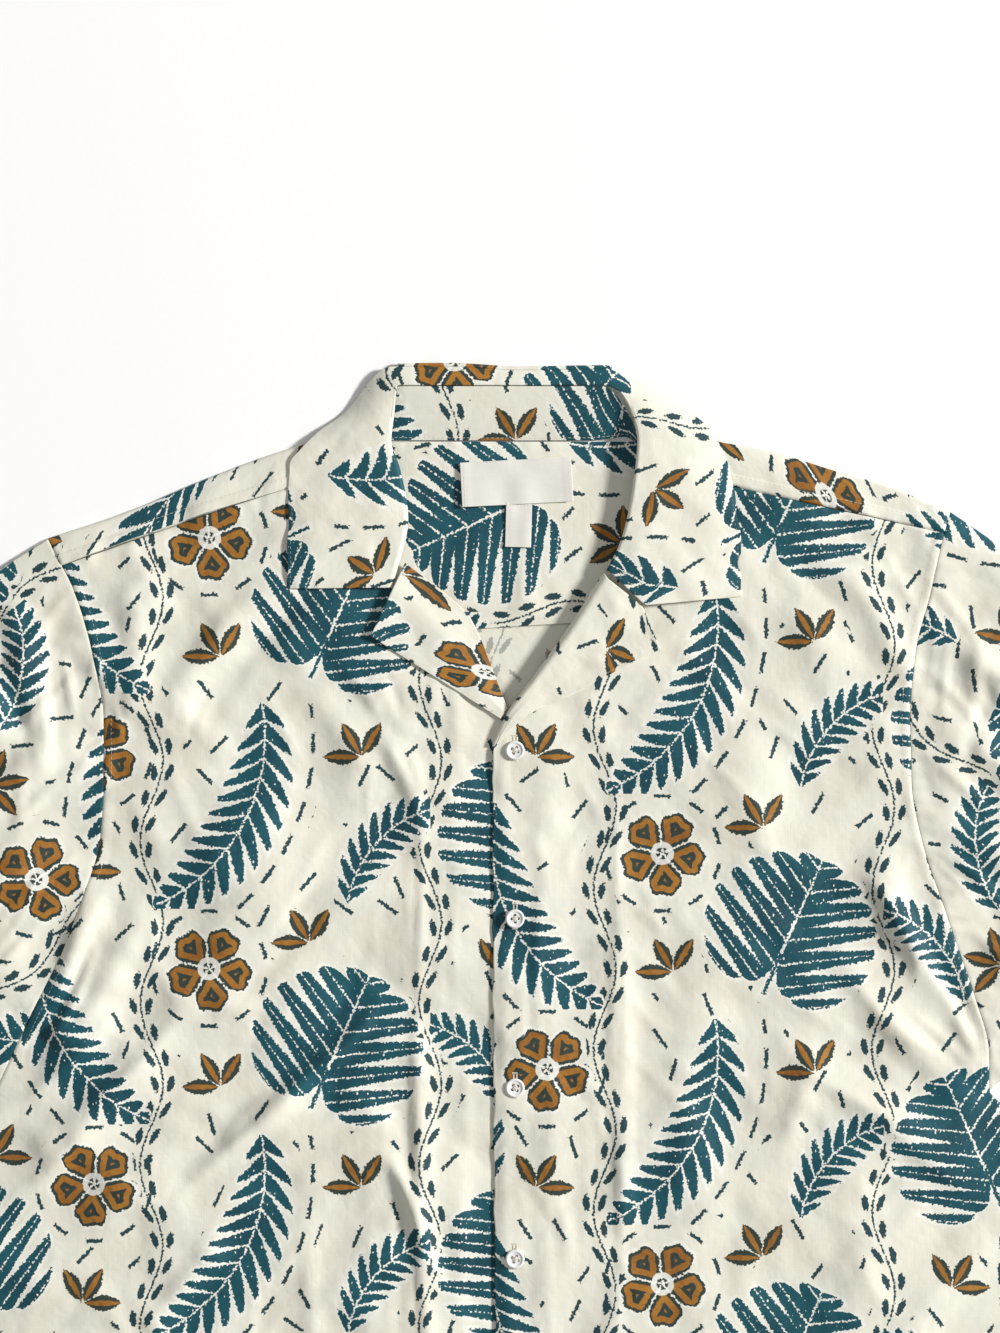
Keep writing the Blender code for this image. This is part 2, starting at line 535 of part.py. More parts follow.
def collar():
    share = np.array([0, 0.1, 0.27, 0.45, 0.64, 0.83, 1])
    grid, index = banded(COLLAR, 46, share)
    # The front edge of the left leaf bends at the notch.
    straight = mix(grid[-1, 0, :2], grid[-1, -1, :2], 0.27)
    bend = np.interp(share, (0, 0.27, 1), (0, 1, 0))[None, :, None]
    fade = (np.clip(index - 12, 0, 1) ** 2)[:, None, None]
    grid[..., :2] += fade * bend * (np.array(NOTCH_LEFT) - straight)
    # At the back neck the fall turns down and lies behind, on the floor.
    turn = (grid[:, -1, 2] - FLOOR_LAYER) / 2
    behind = np.zeros((len(grid), 5, 3))
    for j, angle in enumerate((30, -30)):
        a = math.radians(angle)
        behind[:, j] = grid[:, -1]
        behind[:, j, 1] += turn * math.cos(a)
        behind[:, j, 2] = FLOOR_LAYER + turn + turn * math.sin(a)
    for j, part in ((2, 0), (3, 0.5), (4, 1)):
        behind[:, j] = grid[:, -1]
        behind[:, j, 1] -= part * FALL_BEHIND
        behind[:, j, 2] = FLOOR_LAYER
    full = np.concatenate([grid, behind], 1)
    keep = np.ones((full.shape[0] - 1, full.shape[1] - 1), bool)
    middle = (index[:-1] + index[1:]) / 2
    keep[(middle < FALL_FROM) | (middle > FALL_TO), grid.shape[1] - 1:] = False
    return wall(full[:, ::-1], keep[:, ::-1])


def collar_stand():
    grid, _ = banded(STAND, 26, np.array([0, 0.25, 0.5, 0.75, 1]))
    return wall(grid[:, ::-1])


def tab(size):
    across_it, up_it = (np.linspace(-length / 2, length / 2, 3) for length in (size.width, size.height))
    x, y = np.meshgrid(across_it, up_it)
    a = math.radians(size.tilt)
    plan = np.stack([size.x + x * math.cos(a) - y * math.sin(a), size.y + x * math.sin(a) + y * math.cos(a)], -1)
    return faced_up(plan, level(LINING_LAYER + LAYER))


def build():
    cloth = material("printed_cloth", CREAM, 0.7)
    pearl = material("button_pearl", PEARL, 0.25)
    white = material("label_white", LABEL_WHITE, 0.6)

    add("back", back(), cloth)
    add("yoke", yoke(), cloth)
    add("inner_yoke", inner_yoke(), cloth)
    add("front_right", front(FRONT_RIGHT_EDGE, -1, YOKE_SEAM_NEG, front_right_height), cloth)
    add("front_left", front(FRONT_LEFT_EDGE, 1, YOKE_SEAM_POS, front_left_height), cloth)
    add("facing_right", facing_right(), cloth)
    add("facing_left", facing_left(), cloth)
    add("collar_stand", collar_stand(), cloth)
    add("collar", collar(), cloth)
    add("sleeve_right", sleeve(-1, SLEEVE_TOP_NEG, SLEEVE_LOW_NEG), cloth)
    add("sleeve_left", sleeve(1, SLEEVE_TOP_POS, SLEEVE_LOW_POS), cloth)
    add("label", tab(LABEL), white)
    add("care_tab", tab(CARE_TAB), white)
    for number, y in enumerate(BUTTON_YS, 1):
        button = add(f"button_{number}", turned(BUTTON, BUTTON_SIDES), pearl)
        seat = float(front_left_height(BUTTON_X, y)) + CLOTH / 2 + SEAM
        button.location = (BUTTON_X * MM, y * MM, seat * MM)


for leftover in list(bpy.data.objects):
    bpy.data.objects.remove(leftover)
build()
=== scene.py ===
"""The looks of a short-sleeved camp-collar shirt, buttoned from the V down and laid flat on its back.

+X is to the wearer's left, +Y towards the collar and +Z up, as in the frame. Tables and sizes are in
millimetres, and the meshes in metres. Left and right in names are the wearer's. Each piece of cloth is a
thin shell on the form of its solid, with its creases, seams and stitches, and holds its place in the printed
cloth as an attribute.
"""
import math
from collections import namedtuple

import bpy
import numpy as np
from mathutils import Matrix, Vector


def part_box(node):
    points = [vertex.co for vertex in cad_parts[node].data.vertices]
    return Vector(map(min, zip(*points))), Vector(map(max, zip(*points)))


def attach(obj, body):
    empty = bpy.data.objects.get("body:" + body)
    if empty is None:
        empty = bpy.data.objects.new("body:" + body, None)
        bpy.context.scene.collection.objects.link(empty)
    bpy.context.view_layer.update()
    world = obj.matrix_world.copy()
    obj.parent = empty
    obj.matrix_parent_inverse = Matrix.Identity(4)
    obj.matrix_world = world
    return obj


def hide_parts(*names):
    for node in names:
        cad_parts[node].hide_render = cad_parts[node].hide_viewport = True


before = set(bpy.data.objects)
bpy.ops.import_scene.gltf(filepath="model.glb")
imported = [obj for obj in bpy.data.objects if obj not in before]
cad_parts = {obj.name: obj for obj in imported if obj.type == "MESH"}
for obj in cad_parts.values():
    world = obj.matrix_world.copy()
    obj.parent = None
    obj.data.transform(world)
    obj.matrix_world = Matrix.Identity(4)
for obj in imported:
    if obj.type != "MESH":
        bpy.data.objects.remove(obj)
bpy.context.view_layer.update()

MM = 0.001
SINGLE, DOUBLE = 0.5, 1.0  # thickness of one layer of cloth, and of a front as far as its facing reaches
LAPEL_THICK, COLLAR_THICK, LABEL_THICK = 0.8, 0.85, 0.3
LAID = SINGLE / 2  # the height of the middle of a layer that lies on the floor
LINING_LAYER, EDGE_LAYER = 1.8, 2.1  # that of the inner yoke, and of the upper layer along the outline
TURN = (EDGE_LAYER - LAID) / 2  # radius of the folds along the shoulders and the sleeves
LOFT, ROUND = 2.3, 9.0  # how much higher the upper layer lies further in, and how far it takes to rise
LOWEST, LOWEST_BELOW = 1.5, 1.1  # of the upper layer, and of the lower front under the upper one
OVERLAP_UP, OVERLAP_DOWN = 1.5, 1.3  # how far the fronts rise and sink where one lies on the other
EDGE_DROP = 1.45  # how far the upper front comes down to the lower one at its button edge
SEAM_GAP = 0.05  # from the edge of a piece to its seam line
STEP, FINE_STEP, BACK_STEP = 2.15, 1.3, 6.0  # of the meshes: the upper layer, the small pieces, the back
RIM = (0, 0.1, 0.3, 0.7, 1.3, 2.1)  # closer lines next to an edge, which round it


def table(kind, *rows):
    """Rows with named columns."""
    return [kind(*row) for row in rows]


Row = namedtuple("Row", "y neg pos")  # the body's edge at -X and at +X: side seam, underarm notch, armhole
BODY = table(Row,
    (-370, -276, 277), (-243, -280, 280), (-108, -282, 282), (-47, -280, 280), (-32, -275.5, 274.5),
    (-22, -270.5, 265.7), (2, -259, 264.6), (27, -247, 258), (53, -234, 249), (80, -224, 239.5),
    (113, -214, 229), (142, -212, 223.5), (178, -212, 222.5), (215, -218, 225.7), (245, -227, 233.3),
    (277, -243, 240.5), (290, -249, 244.6),
)
HEM_Y, NOTCH_Y, BACK_SEAM_Y = -370, -22, 231.5
HEM_HALF = 277  # half the width of the hem

Point = namedtuple("Point", "x y")
SHOULDER_NEG = table(Point,
    (-242, 275.4), (-199, 290), (-158, 307), (-113, 323.5), (-82, 332), (-60, 338.5),
)
SHOULDER_POS = table(Point,
    (83, 338.5), (117, 328.3), (148, 322.4), (182, 312), (208, 304.6), (234, 294.3), (244.6, 290),
)
NECK_NEG, NECK_POS, NECK_Y = -57, 80, 328
NECK_COLUMNS = 25  # of the yoke's mesh between its shoulders
YOKE_SEAM_NEG = table(Point, (-235, 260.8), (-114.5, 301.9), (-60, 316.5))
YOKE_SEAM_POS = table(Point, (81, 314.8), (130, 302.9), (240.5, 278.6))
SLEEVE_TOP_NEG = table(Point, (-242, 275.4), (-268.4, 258.7), (-322.4, 216.5), (-379, 166), (-434, 111))
SLEEVE_TOP_POS = table(Point, (244.6, 290), (271.6, 271), (325.6, 225.2), (379.6, 169.6), (434, 108.5))
SLEEVE_LOW_NEG = table(Point, (-270.5, -22), (-277.6, -17.8), (-288.9, -20), (-306.7, -28.6))
SLEEVE_LOW_POS = table(Point, (265.7, -22), (273.2, -16.7), (285.1, -18.9), (304, -30.2))

Inner = namedtuple("Inner", "y x")  # the inner edge of each front: button edge, then the V, then the neck
FRONT_RIGHT_EDGE = table(Inner,
    (-370, 22), (150, 22), (158, 20), (170, 10), (180, 0), (221, -29), (256, -57), (286, -53), (317, -58),
)
FRONT_LEFT_EDGE = table(Inner,
    (-370, 1), (-135, -1), (102, -2.2), (161, -2.2), (168, 1.5), (178, 9.4), (190, 18.4), (221, 40),
    (257.6, 63.8), (275, 72), (302, 79.4), (316, 81.5),
)
ROWS_SLANT_FROM = 60  # the y from which the rows of a front's mesh slant up to its neck
FACING_ENDS = (60, 68)  # how far in from the button edge the facing thins out
Lapel = namedtuple("Lapel", "roll_x roll_y roll_z out_x out_y out_z under_z")  # the left one, rolled over
LAPEL_LEFT = table(Lapel,
    (-2.4, 163.5, 7.6, 1.4, 166.2, 7.6, 4.6), (5.5, 181, 8.2, 17, 180.8, 7.5, 4.6),
    (21, 202.5, 9.2, 38, 190.2, 7.2, 4.0), (39, 228, 10.4, 66.4, 205.2, 6.4, 3.1),
    (57.4, 256.8, 11, 88, 216, 7.2, 3.1),
)
LAPEL_UNDER = 9.0  # how far it goes on below the front
V_TOWARD = (0.9, 0.436)  # the way it turns over at the V, where it has no width
NOTCH_LEFT, NOTCH_GAP = Point(78.3, 239.6), 0.3  # where collar and lapel part
NOTCH_ON_LAPEL, NOTCH_ON_COLLAR = 0.6, 0.27  # how far out along their ends that is
Open = namedtuple("Open", "out_x out_y out_z in_x in_y in_z")  # the wearer's right lapel, which lies open
LAPEL_RIGHT = table(Open,
    (1.8, 178.4, 5.4, 5.6, 184, 4.5), (-30.8, 199.3, 6.1, -2.7, 205.7, 3.2),
    (-52.4, 212.8, 6.6, -14.6, 233.3, 3.0), (-68, 223, 8.6, -49.5, 262.5, 4.6),
)
Station = namedtuple("Station", "in_x in_y in_z out_x out_y out_z swell curl")  # both edges of a strip
COLLAR = table(Station,  # from its right point round the neck to its left one
    (-56.7, 249, 6.6, -112.3, 248.4, 6.2, 1.2, 2.4), (-48.1, 285.7, 6.8, -112.3, 283, 6.2, 1.6, 2.6),
    (-52.4, 312.7, 7.0, -111.2, 314.8, 5.6, 1.6, 2.6), (-57.2, 327.8, 7.2, -101, 328.5, 3.6, 1.8, 2.2),
    (-55.6, 342.4, 7.4, -82.1, 343.5, 1.4, 2.2, 1.2), (-53.5, 358, 7.4, -56.7, 368, 4.0, 0.5, 0.3),
    (-25.4, 358, 7.6, -25.4, 368, 4.2, 0.5, 0.3), (13, 358, 7.6, 13, 366.1, 4.4, 0.5, 0.3),
    (55.6, 358, 8.0, 57.2, 366.6, 4.6, 0.5, 0.3), (65.5, 354.8, 9.0, 70.7, 361.8, 3.8, 0.8, 0.6),
    (75.6, 328.9, 11.2, 116.1, 332.5, 3.8, 2.2, 1.6), (72.9, 301.9, 12.2, 127.4, 301.9, 6.4, 1.6, 1.8),
    (67, 274.9, 11.7, 130.7, 272.2, 6.2, 1.4, 1.8), (58.9, 257.9, 10.7, 131.8, 244.1, 6.2, 1.2, 1.6),
)
CURL_COLUMNS = 6  # of its mesh, where a strip curls down at its inner edge
FALL_BEHIND = 25.0  # how far the fall goes on down behind the neck
FALL_FROM, FALL_TO = 5.1, 8.3  # the stations of the collar between which it does, counted from 0
STAND = table(Station,
    (-59, 328.8, 1.9, -57.5, 357, 5.4, 0, 0), (-48, 328.7, 1.9, -48, 357.4, 7.0, 0.2, 0),
    (-25, 328.6, 1.9, -25.4, 357.4, 7.1, 0.3, 0), (13, 328.5, 1.9, 13, 357.4, 7.1, 0.3, 0),
    (50, 328.7, 2.0, 55.4, 357.4, 7.3, 0.3, 0), (69, 330.5, 2.6, 64.4, 352, 7.8, 0.3, 0),
    (78.6, 318, 3.2, 76.6, 324, 9.4, 0, 0), (76.5, 300, 3.2, 74.6, 300, 10.4, 0, 0),
    (70, 275, 3.2, 68.4, 275, 10.0, 0, 0), (62, 260, 3.2, 60.6, 260, 9.0, 0, 0),
)
INNER_YOKE_X, INNER_YOKE_TOP = (-76, 100), 327.9
INNER_YOKE_LOW, INNER_YOKE_TILT = 227.6, 0.06  # its lower edge at x 0, and its rise for each mm of x
FAN_X, FAN_Y = 14, 292  # where the creases in it start from
SLEEVE_TURN = (-60, -30, 0, 30, 60)  # degrees round the fold along a sleeve
Tab = namedtuple("Tab", "x y width height tilt")
LABEL, CARE_TAB = Tab(10.6, 306, 60, 24, 3.0), Tab(11.6, 282.9, 14, 24, -1.5)
BUTTON_NODES = [f"button_{number}" for number in range(1, 6)]

Fold = namedtuple("Fold", "x0 y0 x1 y1 width height bow")  # a soft ridge; a trough has a negative height
FOLDS = table(Fold,
    # wearer's left front: chest, underarm, facing edge, then the loose lower panel
    (144, 290, 214, 218, 9, 2.4, 5), (186, 264, 222, 196, 7, 2.2, 3), (152, 240, 184, 186, 10, 2.0, 4),
    (196, 97, 221, 50, 4.5, 3.0, 4), (203, 112, 250, 22, 9, 4.6, -6), (178, 60, 258, -26, 10, 3.6, -8),
    (150, 10, 258, -64, 12, 3.2, -6), (172, 2, 152, -62, 7, 2.6, 0), (65, 102, 66, -100, 6, 2.2, 2),
    (69, -36, 68.6, -104, 5, 1.8, 0), (118, 205, 146, 60, 20, 3.0, 5), (112, 40, 104, -120, 16, 2.4, -6),
    (192, -60, 190, -230, 14, 2.8, 5), (150, -120, 170, -320, 22, 3.6, 8),
    (90, -170, 80, -362, 15, 3.0, -4), (228, -110, 236, -340, 16, 3.2, -4),
    # wearer's right front
    (-92, 246, -160, 168, 6, -2.5, -10), (-108, 256, -184, 172, 8, 2.8, -8),
    (-104, 194, -70, 148, 8, 2.2, 3), (-66, 176, -38, 110, 5, 2.4, 4), (-43, 26, -40, -108, 6, 2.4, 1),
    (-62, -52, -36, -132, 5, 3.2, 6), (-206, 96, -238, 5, 8, 4.2, -5), (-192, 84, -254, -28, 10, 3.6, 8),
    (-160, 40, -258, -70, 12, 3.2, 8), (-66, 22, -168, -70, 5.5, 3.7, 4),
    (-196, 262, -186, 170, 9, 2.6, -4), (-118, 150, -140, 40, 20, 3.0, -5),
    (-146, -96, -192, -150, 7, 2.8, 3), (-150, -150, -166, -330, 24, 3.6, -8),
    (-72, -122, -78, -355, 14, 3.0, 5), (-232, -120, -238, -345, 18, 3.2, 4),
    # sleeves
    (238, 226, 306, 156, 9, 4.0, 5), (232, 182, 316, 104, 10, 3.6, 6), (238, 122, 334, 42, 10, 4.0, 8),
    (264, 60, 330, -2, 9, 3.4, 6), (304, 214, 388, 124, 12, 3.4, 4), (-262, 242, -250, 134, 8, 3.2, 4),
    (-236, 214, -304, 150, 9, 3.6, -5), (-222, 172, -310, 96, 10, 3.6, -6),
    (-228, 112, -330, 36, 10, 4.0, -8), (-256, 60, -328, -2, 9, 3.4, -6),
    (-304, 208, -384, 120, 12, 3.4, -4),
)
CREASES = table(Fold,  # the finer ones, which the solids don't have
    # deep valleys beside the largest folds
    (224, 78, 263, 4, 5, -2.4, -3), (240, 36, 262, -14, 4, 1.8, 0), (-74, 40, -104, 2, 4, -1.4, 2),
    (-214, 74, -246, 4, 4.5, -2.0, 3), (-60, 34, -96, -18, 3.4, 1.3, 2),
    (-112, -20, -150, -50, 3.6, 1.2, -3), (-56, -60, -44, -96, 3, 1.4, 1),
    (-44, -100, -36, -160, 3, 1.4, 0), (-52, 168, -40, 136, 3, 1.2, 2),
    (-98, 248, -122, 222, 3.2, -1.2, -2), (-146, 206, -166, 166, 3.4, -1.2, -4),
    (-262, 196, -250, 140, 5, -1.8, 3), (268, 194, 252, 148, 5, -1.8, -3),
    (236, 240, 234, 196, 3.4, 1.3, 1), (-207, 190, -203, 160, 2.6, 1.0, 1),
    (-200, 180, -212, 140, 3, 1.1, -2), (204, 76, 222, 54, 2.6, 1.3, 2),
    # along the facing's free edge and the edge that lies below the buttons
    (63, 150, 64, 60, 2.2, 0.8, 1), (66, 70, 62, -30, 2.0, 0.9, -2), (63, -20, 66, -150, 2.2, 0.8, 2),
    (66, -140, 63, -350, 2.4, 0.7, -1), (23, 150, 23, -60, 2.6, 0.5, 0), (23, -50, 23, -350, 2.6, 0.5, 0),
    (-41, 130, -43, 20, 2.4, 0.8, 1), (-42, 30, -40, -140, 2.2, 0.9, -2),
    (-40, -130, -42, -350, 2.4, 0.7, 1),
    # chest and shoulders
    (150, 296, 196, 262, 3, 0.8, 2), (176, 286, 222, 246, 3, 0.9, -2), (206, 270, 228, 232, 2.6, 0.8, 1),
    (108, 258, 138, 226, 4, 0.8, 2), (92, 196, 122, 150, 4, 0.8, -3), (136, 180, 180, 150, 3, 0.7, 3),
    (40, 150, 58, 120, 3, 0.6, 1), (-124, 288, -172, 262, 3, 0.8, -2), (-150, 282, -206, 246, 3, 0.8, 3),
    (-88, 228, -108, 196, 3.4, -0.9, 2), (-84, 208, -62, 176, 3, 0.9, 2),
    (-130, 196, -106, 150, 3.6, 0.9, 3), (-60, 206, -52, 178, 2.6, -0.8, 1),
    (-176, 160, -156, 108, 5, 0.9, -3), (-92, 120, -120, 76, 5, 0.8, 4),
    # underarms
    (214, 84, 226, 34, 3, 1.4, 3), (190, 40, 246, -6, 3.6, 1.4, -5), (160, -6, 236, -44, 4, 1.2, -4),
    (222, 20, 262, -20, 3, 1.2, 3), (206, -34, 268, -84, 5, 1.2, -4), (-216, 60, -244, 2, 3, 1.4, 4),
    (-200, 30, -262, -30, 3.6, 1.4, 6), (-170, 20, -232, -38, 4, 1.2, 5), (-214, -30, -268, -86, 5, 1.2, 5),
    (-70, 8, -112, -28, 3, -1.0, 2), (-120, -36, -176, -84, 3.6, 1.0, -2),
    (-58, -62, -46, -112, 3, -1.0, 3),
    # the lower panels
    (100, -20, 92, -96, 5, 0.8, 2), (140, -70, 132, -150, 6, 0.9, -3), (120, -180, 132, -300, 7, 1.0, 4),
    (200, -180, 206, -290, 6, 0.9, -3), (50, -210, 46, -330, 4, 0.7, 1), (-100, -90, -96, -170, 5, 0.9, -3),
    (-120, -190, -128, -310, 7, 1.0, -4), (-196, -180, -204, -300, 6, 0.9, 3),
    (-20, -60, -22, -150, 4, 0.6, 1), (-24, -200, -20, -330, 4, 0.7, -1),
    # sleeves
    (232, 252, 262, 214, 3, 1.0, 2), (230, 206, 262, 170, 3, 1.2, 2), (228, 160, 268, 122, 3.4, 1.2, 3),
    (236, 110, 276, 72, 3.4, 1.2, 3), (252, 66, 290, 30, 3.2, 1.0, 2), (330, 190, 396, 124, 5, 0.9, 3),
    (310, 120, 360, 70, 5, 0.9, -3), (-228, 248, -258, 208, 3, 1.0, -2), (-222, 204, -262, 166, 3, 1.2, -2),
    (-218, 156, -262, 118, 3.4, 1.2, -3), (-226, 106, -270, 66, 3.4, 1.2, -3),
    (-246, 62, -288, 26, 3.2, 1.0, -2), (-330, 184, -394, 118, 5, 0.9, -3),
    (-306, 116, -352, 68, 5, 0.9, 3), (-248, 216, -241, 150, 3.6, 1.5, 1),
    (-234, 214, -228, 176, 2.4, 1.2, 1), (-274, 222, -268, 150, 5, 1.4, 3),
    (-292, 200, -300, 128, 5, 1.2, -3), (244, 236, 240, 176, 3.2, 1.3, -1),
    (262, 232, 258, 160, 4.6, 1.3, -3),
    # across the yoke strips
    (-212, 288, -222, 262, 4, 0.9, 1), (-186, 296, -204, 266, 5, 1.0, 2),
    (-148, 312, -166, 278, 6, 1.1, -2), (-116, 322, -126, 296, 5, 0.9, 2), (112, 330, 120, 300, 4, 0.9, 1),
    (142, 324, 158, 290, 6, 1.0, 2), (188, 311, 204, 278, 5, 1.1, -2), (222, 300, 230, 270, 4, 0.9, 1),
)
# How much higher the crests stand than the tables say, across the shirt
Lively = namedtuple("Lively", "x times")
LIVELY = table(Lively,
    (-434, 1.6), (-300, 1.7), (-245, 1.6), (-205, 1.4), (-60, 1.4), (-15, 1.0), (35, 1.0), (80, 0.85),
    (200, 0.9), (245, 1.2), (300, 1.25), (434, 1.2),
)
FINE_CREASES, STREAKS = 420, 90  # small ones over the whole upper layer, and upright ones at the buttons
Wave = namedtuple("Wave", "length angle phase height")  # the cloth is never quite even between its folds
WAVES = table(Wave,
    (118, 24, 0.4, 0.55), (91, 108, 2.1, 0.50), (63, 67, 4.0, 0.42), (47, 151, 1.3, 0.32),
    (35, 12, 5.2, 0.22), (29, 95, 3.3, 0.17), (22, 48, 0.9, 0.11), (17, 130, 2.7, 0.08),
)
ARM_BAND, YOKE_BAND, HEM_BAND, CUFF_BAND = 4.4, 6.0, 18.0, 20.0  # from seams and hems to their stitches


# ---- curves and surfaces

def smooth(knots, values, at):
    """A smooth curve through the values, which doesn't swing past them. values may hold several columns."""
    knots, values = np.asarray(knots, float), np.asarray(values, float)
    at = np.asarray(at, float)
    if values.ndim > 1:
        return np.stack([smooth(knots, column, at) for column in values.T], -1)
    step = np.diff(knots)
    slope = np.diff(values) / step
    before, after = slope[:-1], slope[1:]
    total = np.where(before * after > 0, before + after, 1)
    middle = np.where(before * after > 0, 2 * before * after / total, 0)
    tangent = np.concatenate([slope[:1], middle, slope[-1:]])
    i = np.clip(np.searchsorted(knots, at, side="right") - 1, 0, len(step) - 1)
    t = (at - knots[i]) / step[i]
    rise = values[i + 1] - values[i]
    bend_in = tangent[i] * step[i] - rise
    bend_out = rise - tangent[i + 1] * step[i]
    return values[i] + rise * t + t * (1 - t) * (bend_in * (1 - t) + bend_out * t)


def lengths(points):
    """How far along a line of points each of them is."""
    return np.concatenate([[0], np.cumsum(np.linalg.norm(np.diff(points, axis=0), axis=1))])


def along(points, at):
    """The place at 0 to 1 of the way along a curve through the points."""
    points = np.asarray(points, float)
    way = lengths(points[:, :2])
    return smooth(way / way[-1], points, at)


def curve(rows, knots, values, at):
    """One column of a table as a smooth function of another, level beyond its ends."""
    knots = [getattr(row, knots) for row in rows]
    return smooth(knots, [getattr(row, values) for row in rows], np.clip(at, knots[0], knots[-1]))


def mix(a, b, share):
    return a + (b - a) * share


def step_up(low, high, value):
    t = np.clip((value - low) / (high - low), 0, 1)
    return t * t * (3 - 2 * t)


def shares(length, step=STEP):
    """Shares of a length from 0 to 1, closer together at both ends."""
    inside = np.linspace(RIM[-1], length - RIM[-1], max(int((length - 2 * RIM[-1]) / step), 2) + 1)
    return np.concatenate([RIM[:-1], inside, length - np.array(RIM[-2::-1])]) / length


def body_edge(y, side):
    """The x of the body's edge at each y, on the side -1 or 1."""
    return curve(BODY, "y", "pos" if side > 0 else "neg", y)


def yoke_seam(x, side):
    return curve(YOKE_SEAM_POS if side > 0 else YOKE_SEAM_NEG, "x", "y", x)


def patch(first, last, low, high, u, v):
    """Points of a Coons patch in plan. first and last run along v, low and high along u."""
    u, v = u[:, None, None], v[None, :, None]
    first, last, low, high = first[None], last[None], low[:, None], high[:, None]
    corners = mix(mix(first[:, :1], first[:, -1:], v), mix(last[:, :1], last[:, -1:], v), u)
    return mix(first, last, u) + mix(low, high, v) - corners


def outline_segments():
    """The shirt's outline in plan, but for the neck, as the ends of its segments."""
    t = np.linspace(0, 1, 13)
    ys = np.concatenate([np.linspace(HEM_Y, -60, 6), np.linspace(-47, NOTCH_Y, 5)])
    starts, ends = [], []
    for side, shoulder, top, low in (
        (-1, SHOULDER_NEG, SLEEVE_TOP_NEG, SLEEVE_LOW_NEG),
        (1, SHOULDER_POS[::-1], SLEEVE_TOP_POS, SLEEVE_LOW_POS),
    ):
        runs = (
            along(shoulder, t), along(top, t), np.array([top[-1], low[-1]]), along(low, t),
            np.stack([body_edge(ys, side), ys], -1), np.array([(0, HEM_Y), (side * HEM_HALF, HEM_Y)]),
        )
        starts += [run[:-1] for run in runs]
        ends += [run[1:] for run in runs]
    return np.concatenate(starts), np.concatenate(ends)


STARTS, ENDS = outline_segments()


def from_outline(x, y):
    """The distance of each place to the shirt's outline."""
    nearest = np.full(np.shape(x), np.inf)
    for start, end in zip(STARTS, ENDS):
        run = end - start
        share = np.clip(((x - start[0]) * run[0] + (y - start[1]) * run[1]) / (run @ run), 0, 1)
        nearest = np.minimum(nearest, np.hypot(x - start[0] - share * run[0], y - start[1] - share * run[1]))
    return nearest


def fold_height(fold, x, y):
    """The relief of one fold, which runs out at both of its ends."""
    run = np.array([fold.x1 - fold.x0, fold.y1 - fold.y0])
    length = np.linalg.norm(run)
    run = run / length
    at = np.clip(((x - fold.x0) * run[0] + (y - fold.y0) * run[1]) / length, 0, 1)
    aside = (y - fold.y0) * run[0] - (x - fold.x0) * run[1] - 4 * fold.bow * at * (1 - at)
    return fold.height * np.sin(math.pi * at) ** 0.8 * np.exp(-((aside / fold.width) ** 2))


def fine_creases():
    """Short low creases that mostly lean down and outwards, the same at each run."""
    chance = np.random.default_rng(20)
    made = []
    for _ in range(FINE_CREASES):
        x, y = chance.uniform(-420, 420), chance.uniform(-365, 325)
        angle = math.radians(-90 + 38 * math.tanh(x / 60) + chance.normal(0, 26))
        length, width = chance.uniform(16, 62), chance.uniform(1.7, 4.4)
        height = width * chance.uniform(0.09, 0.24) * chance.choice([1, 1, 1, -0.8])
        end_x, end_y = x + length * math.cos(angle), y + length * math.sin(angle)
        made.append(Fold(x, y, end_x, end_y, width, height, chance.normal(0, 2.5)))
    for _ in range(STREAKS):
        x, y = chance.uniform(-70, 68), chance.uniform(-362, 128)
        length, width = chance.uniform(24, 110), chance.uniform(1.8, 2.8)
        lean = chance.normal(0, 0.03) * length
        made.append(Fold(x, y, x + lean, y - length, width, chance.uniform(0.16, 0.36), chance.normal(0, 1)))
    return made


def near_fold(fold, x, y):
    """Whether a fold comes near any of these places."""
    spare = 3 * fold.width + abs(fold.bow)
    low_x, high_x = sorted((fold.x0, fold.x1))
    low_y, high_y = sorted((fold.y0, fold.y1))
    near_x = np.max(x) > low_x - spare and np.min(x) < high_x + spare
    return near_x and np.max(y) > low_y - spare and np.min(y) < high_y + spare


def uneven(x, y):
    """Low waves with flat sides and narrow crests, bent so that they never line up."""
    bent_x = x + 11 * np.sin(y / 31) + 4 * np.sin(x / 17 + y / 11)
    bent_y = y + 9 * np.sin(x / 27 + 1) + 4 * np.sin(x / 13 - y / 19 + 2)
    height = 0
    for wave in WAVES:
        angle = math.radians(wave.angle)
        way = bent_x * math.cos(angle) + bent_y * math.sin(angle)
        turn = 2 * math.pi * way / wave.length + wave.phase
        height = height + wave.height * np.arcsin(0.97 * np.sin(turn))
    return height


def puckers(way, inset, at, reach, height):
    """Short ripples across a line of stitches, which lies at an inset from the seam."""
    ripple = np.sin(way / 1.45 + 1.7 * np.sin(way / 9.3)) + 0.7 * np.sin(way / 2.6 + 2 * np.sin(way / 17))
    return height * ripple * np.exp(-(((inset - at) / reach) ** 2))


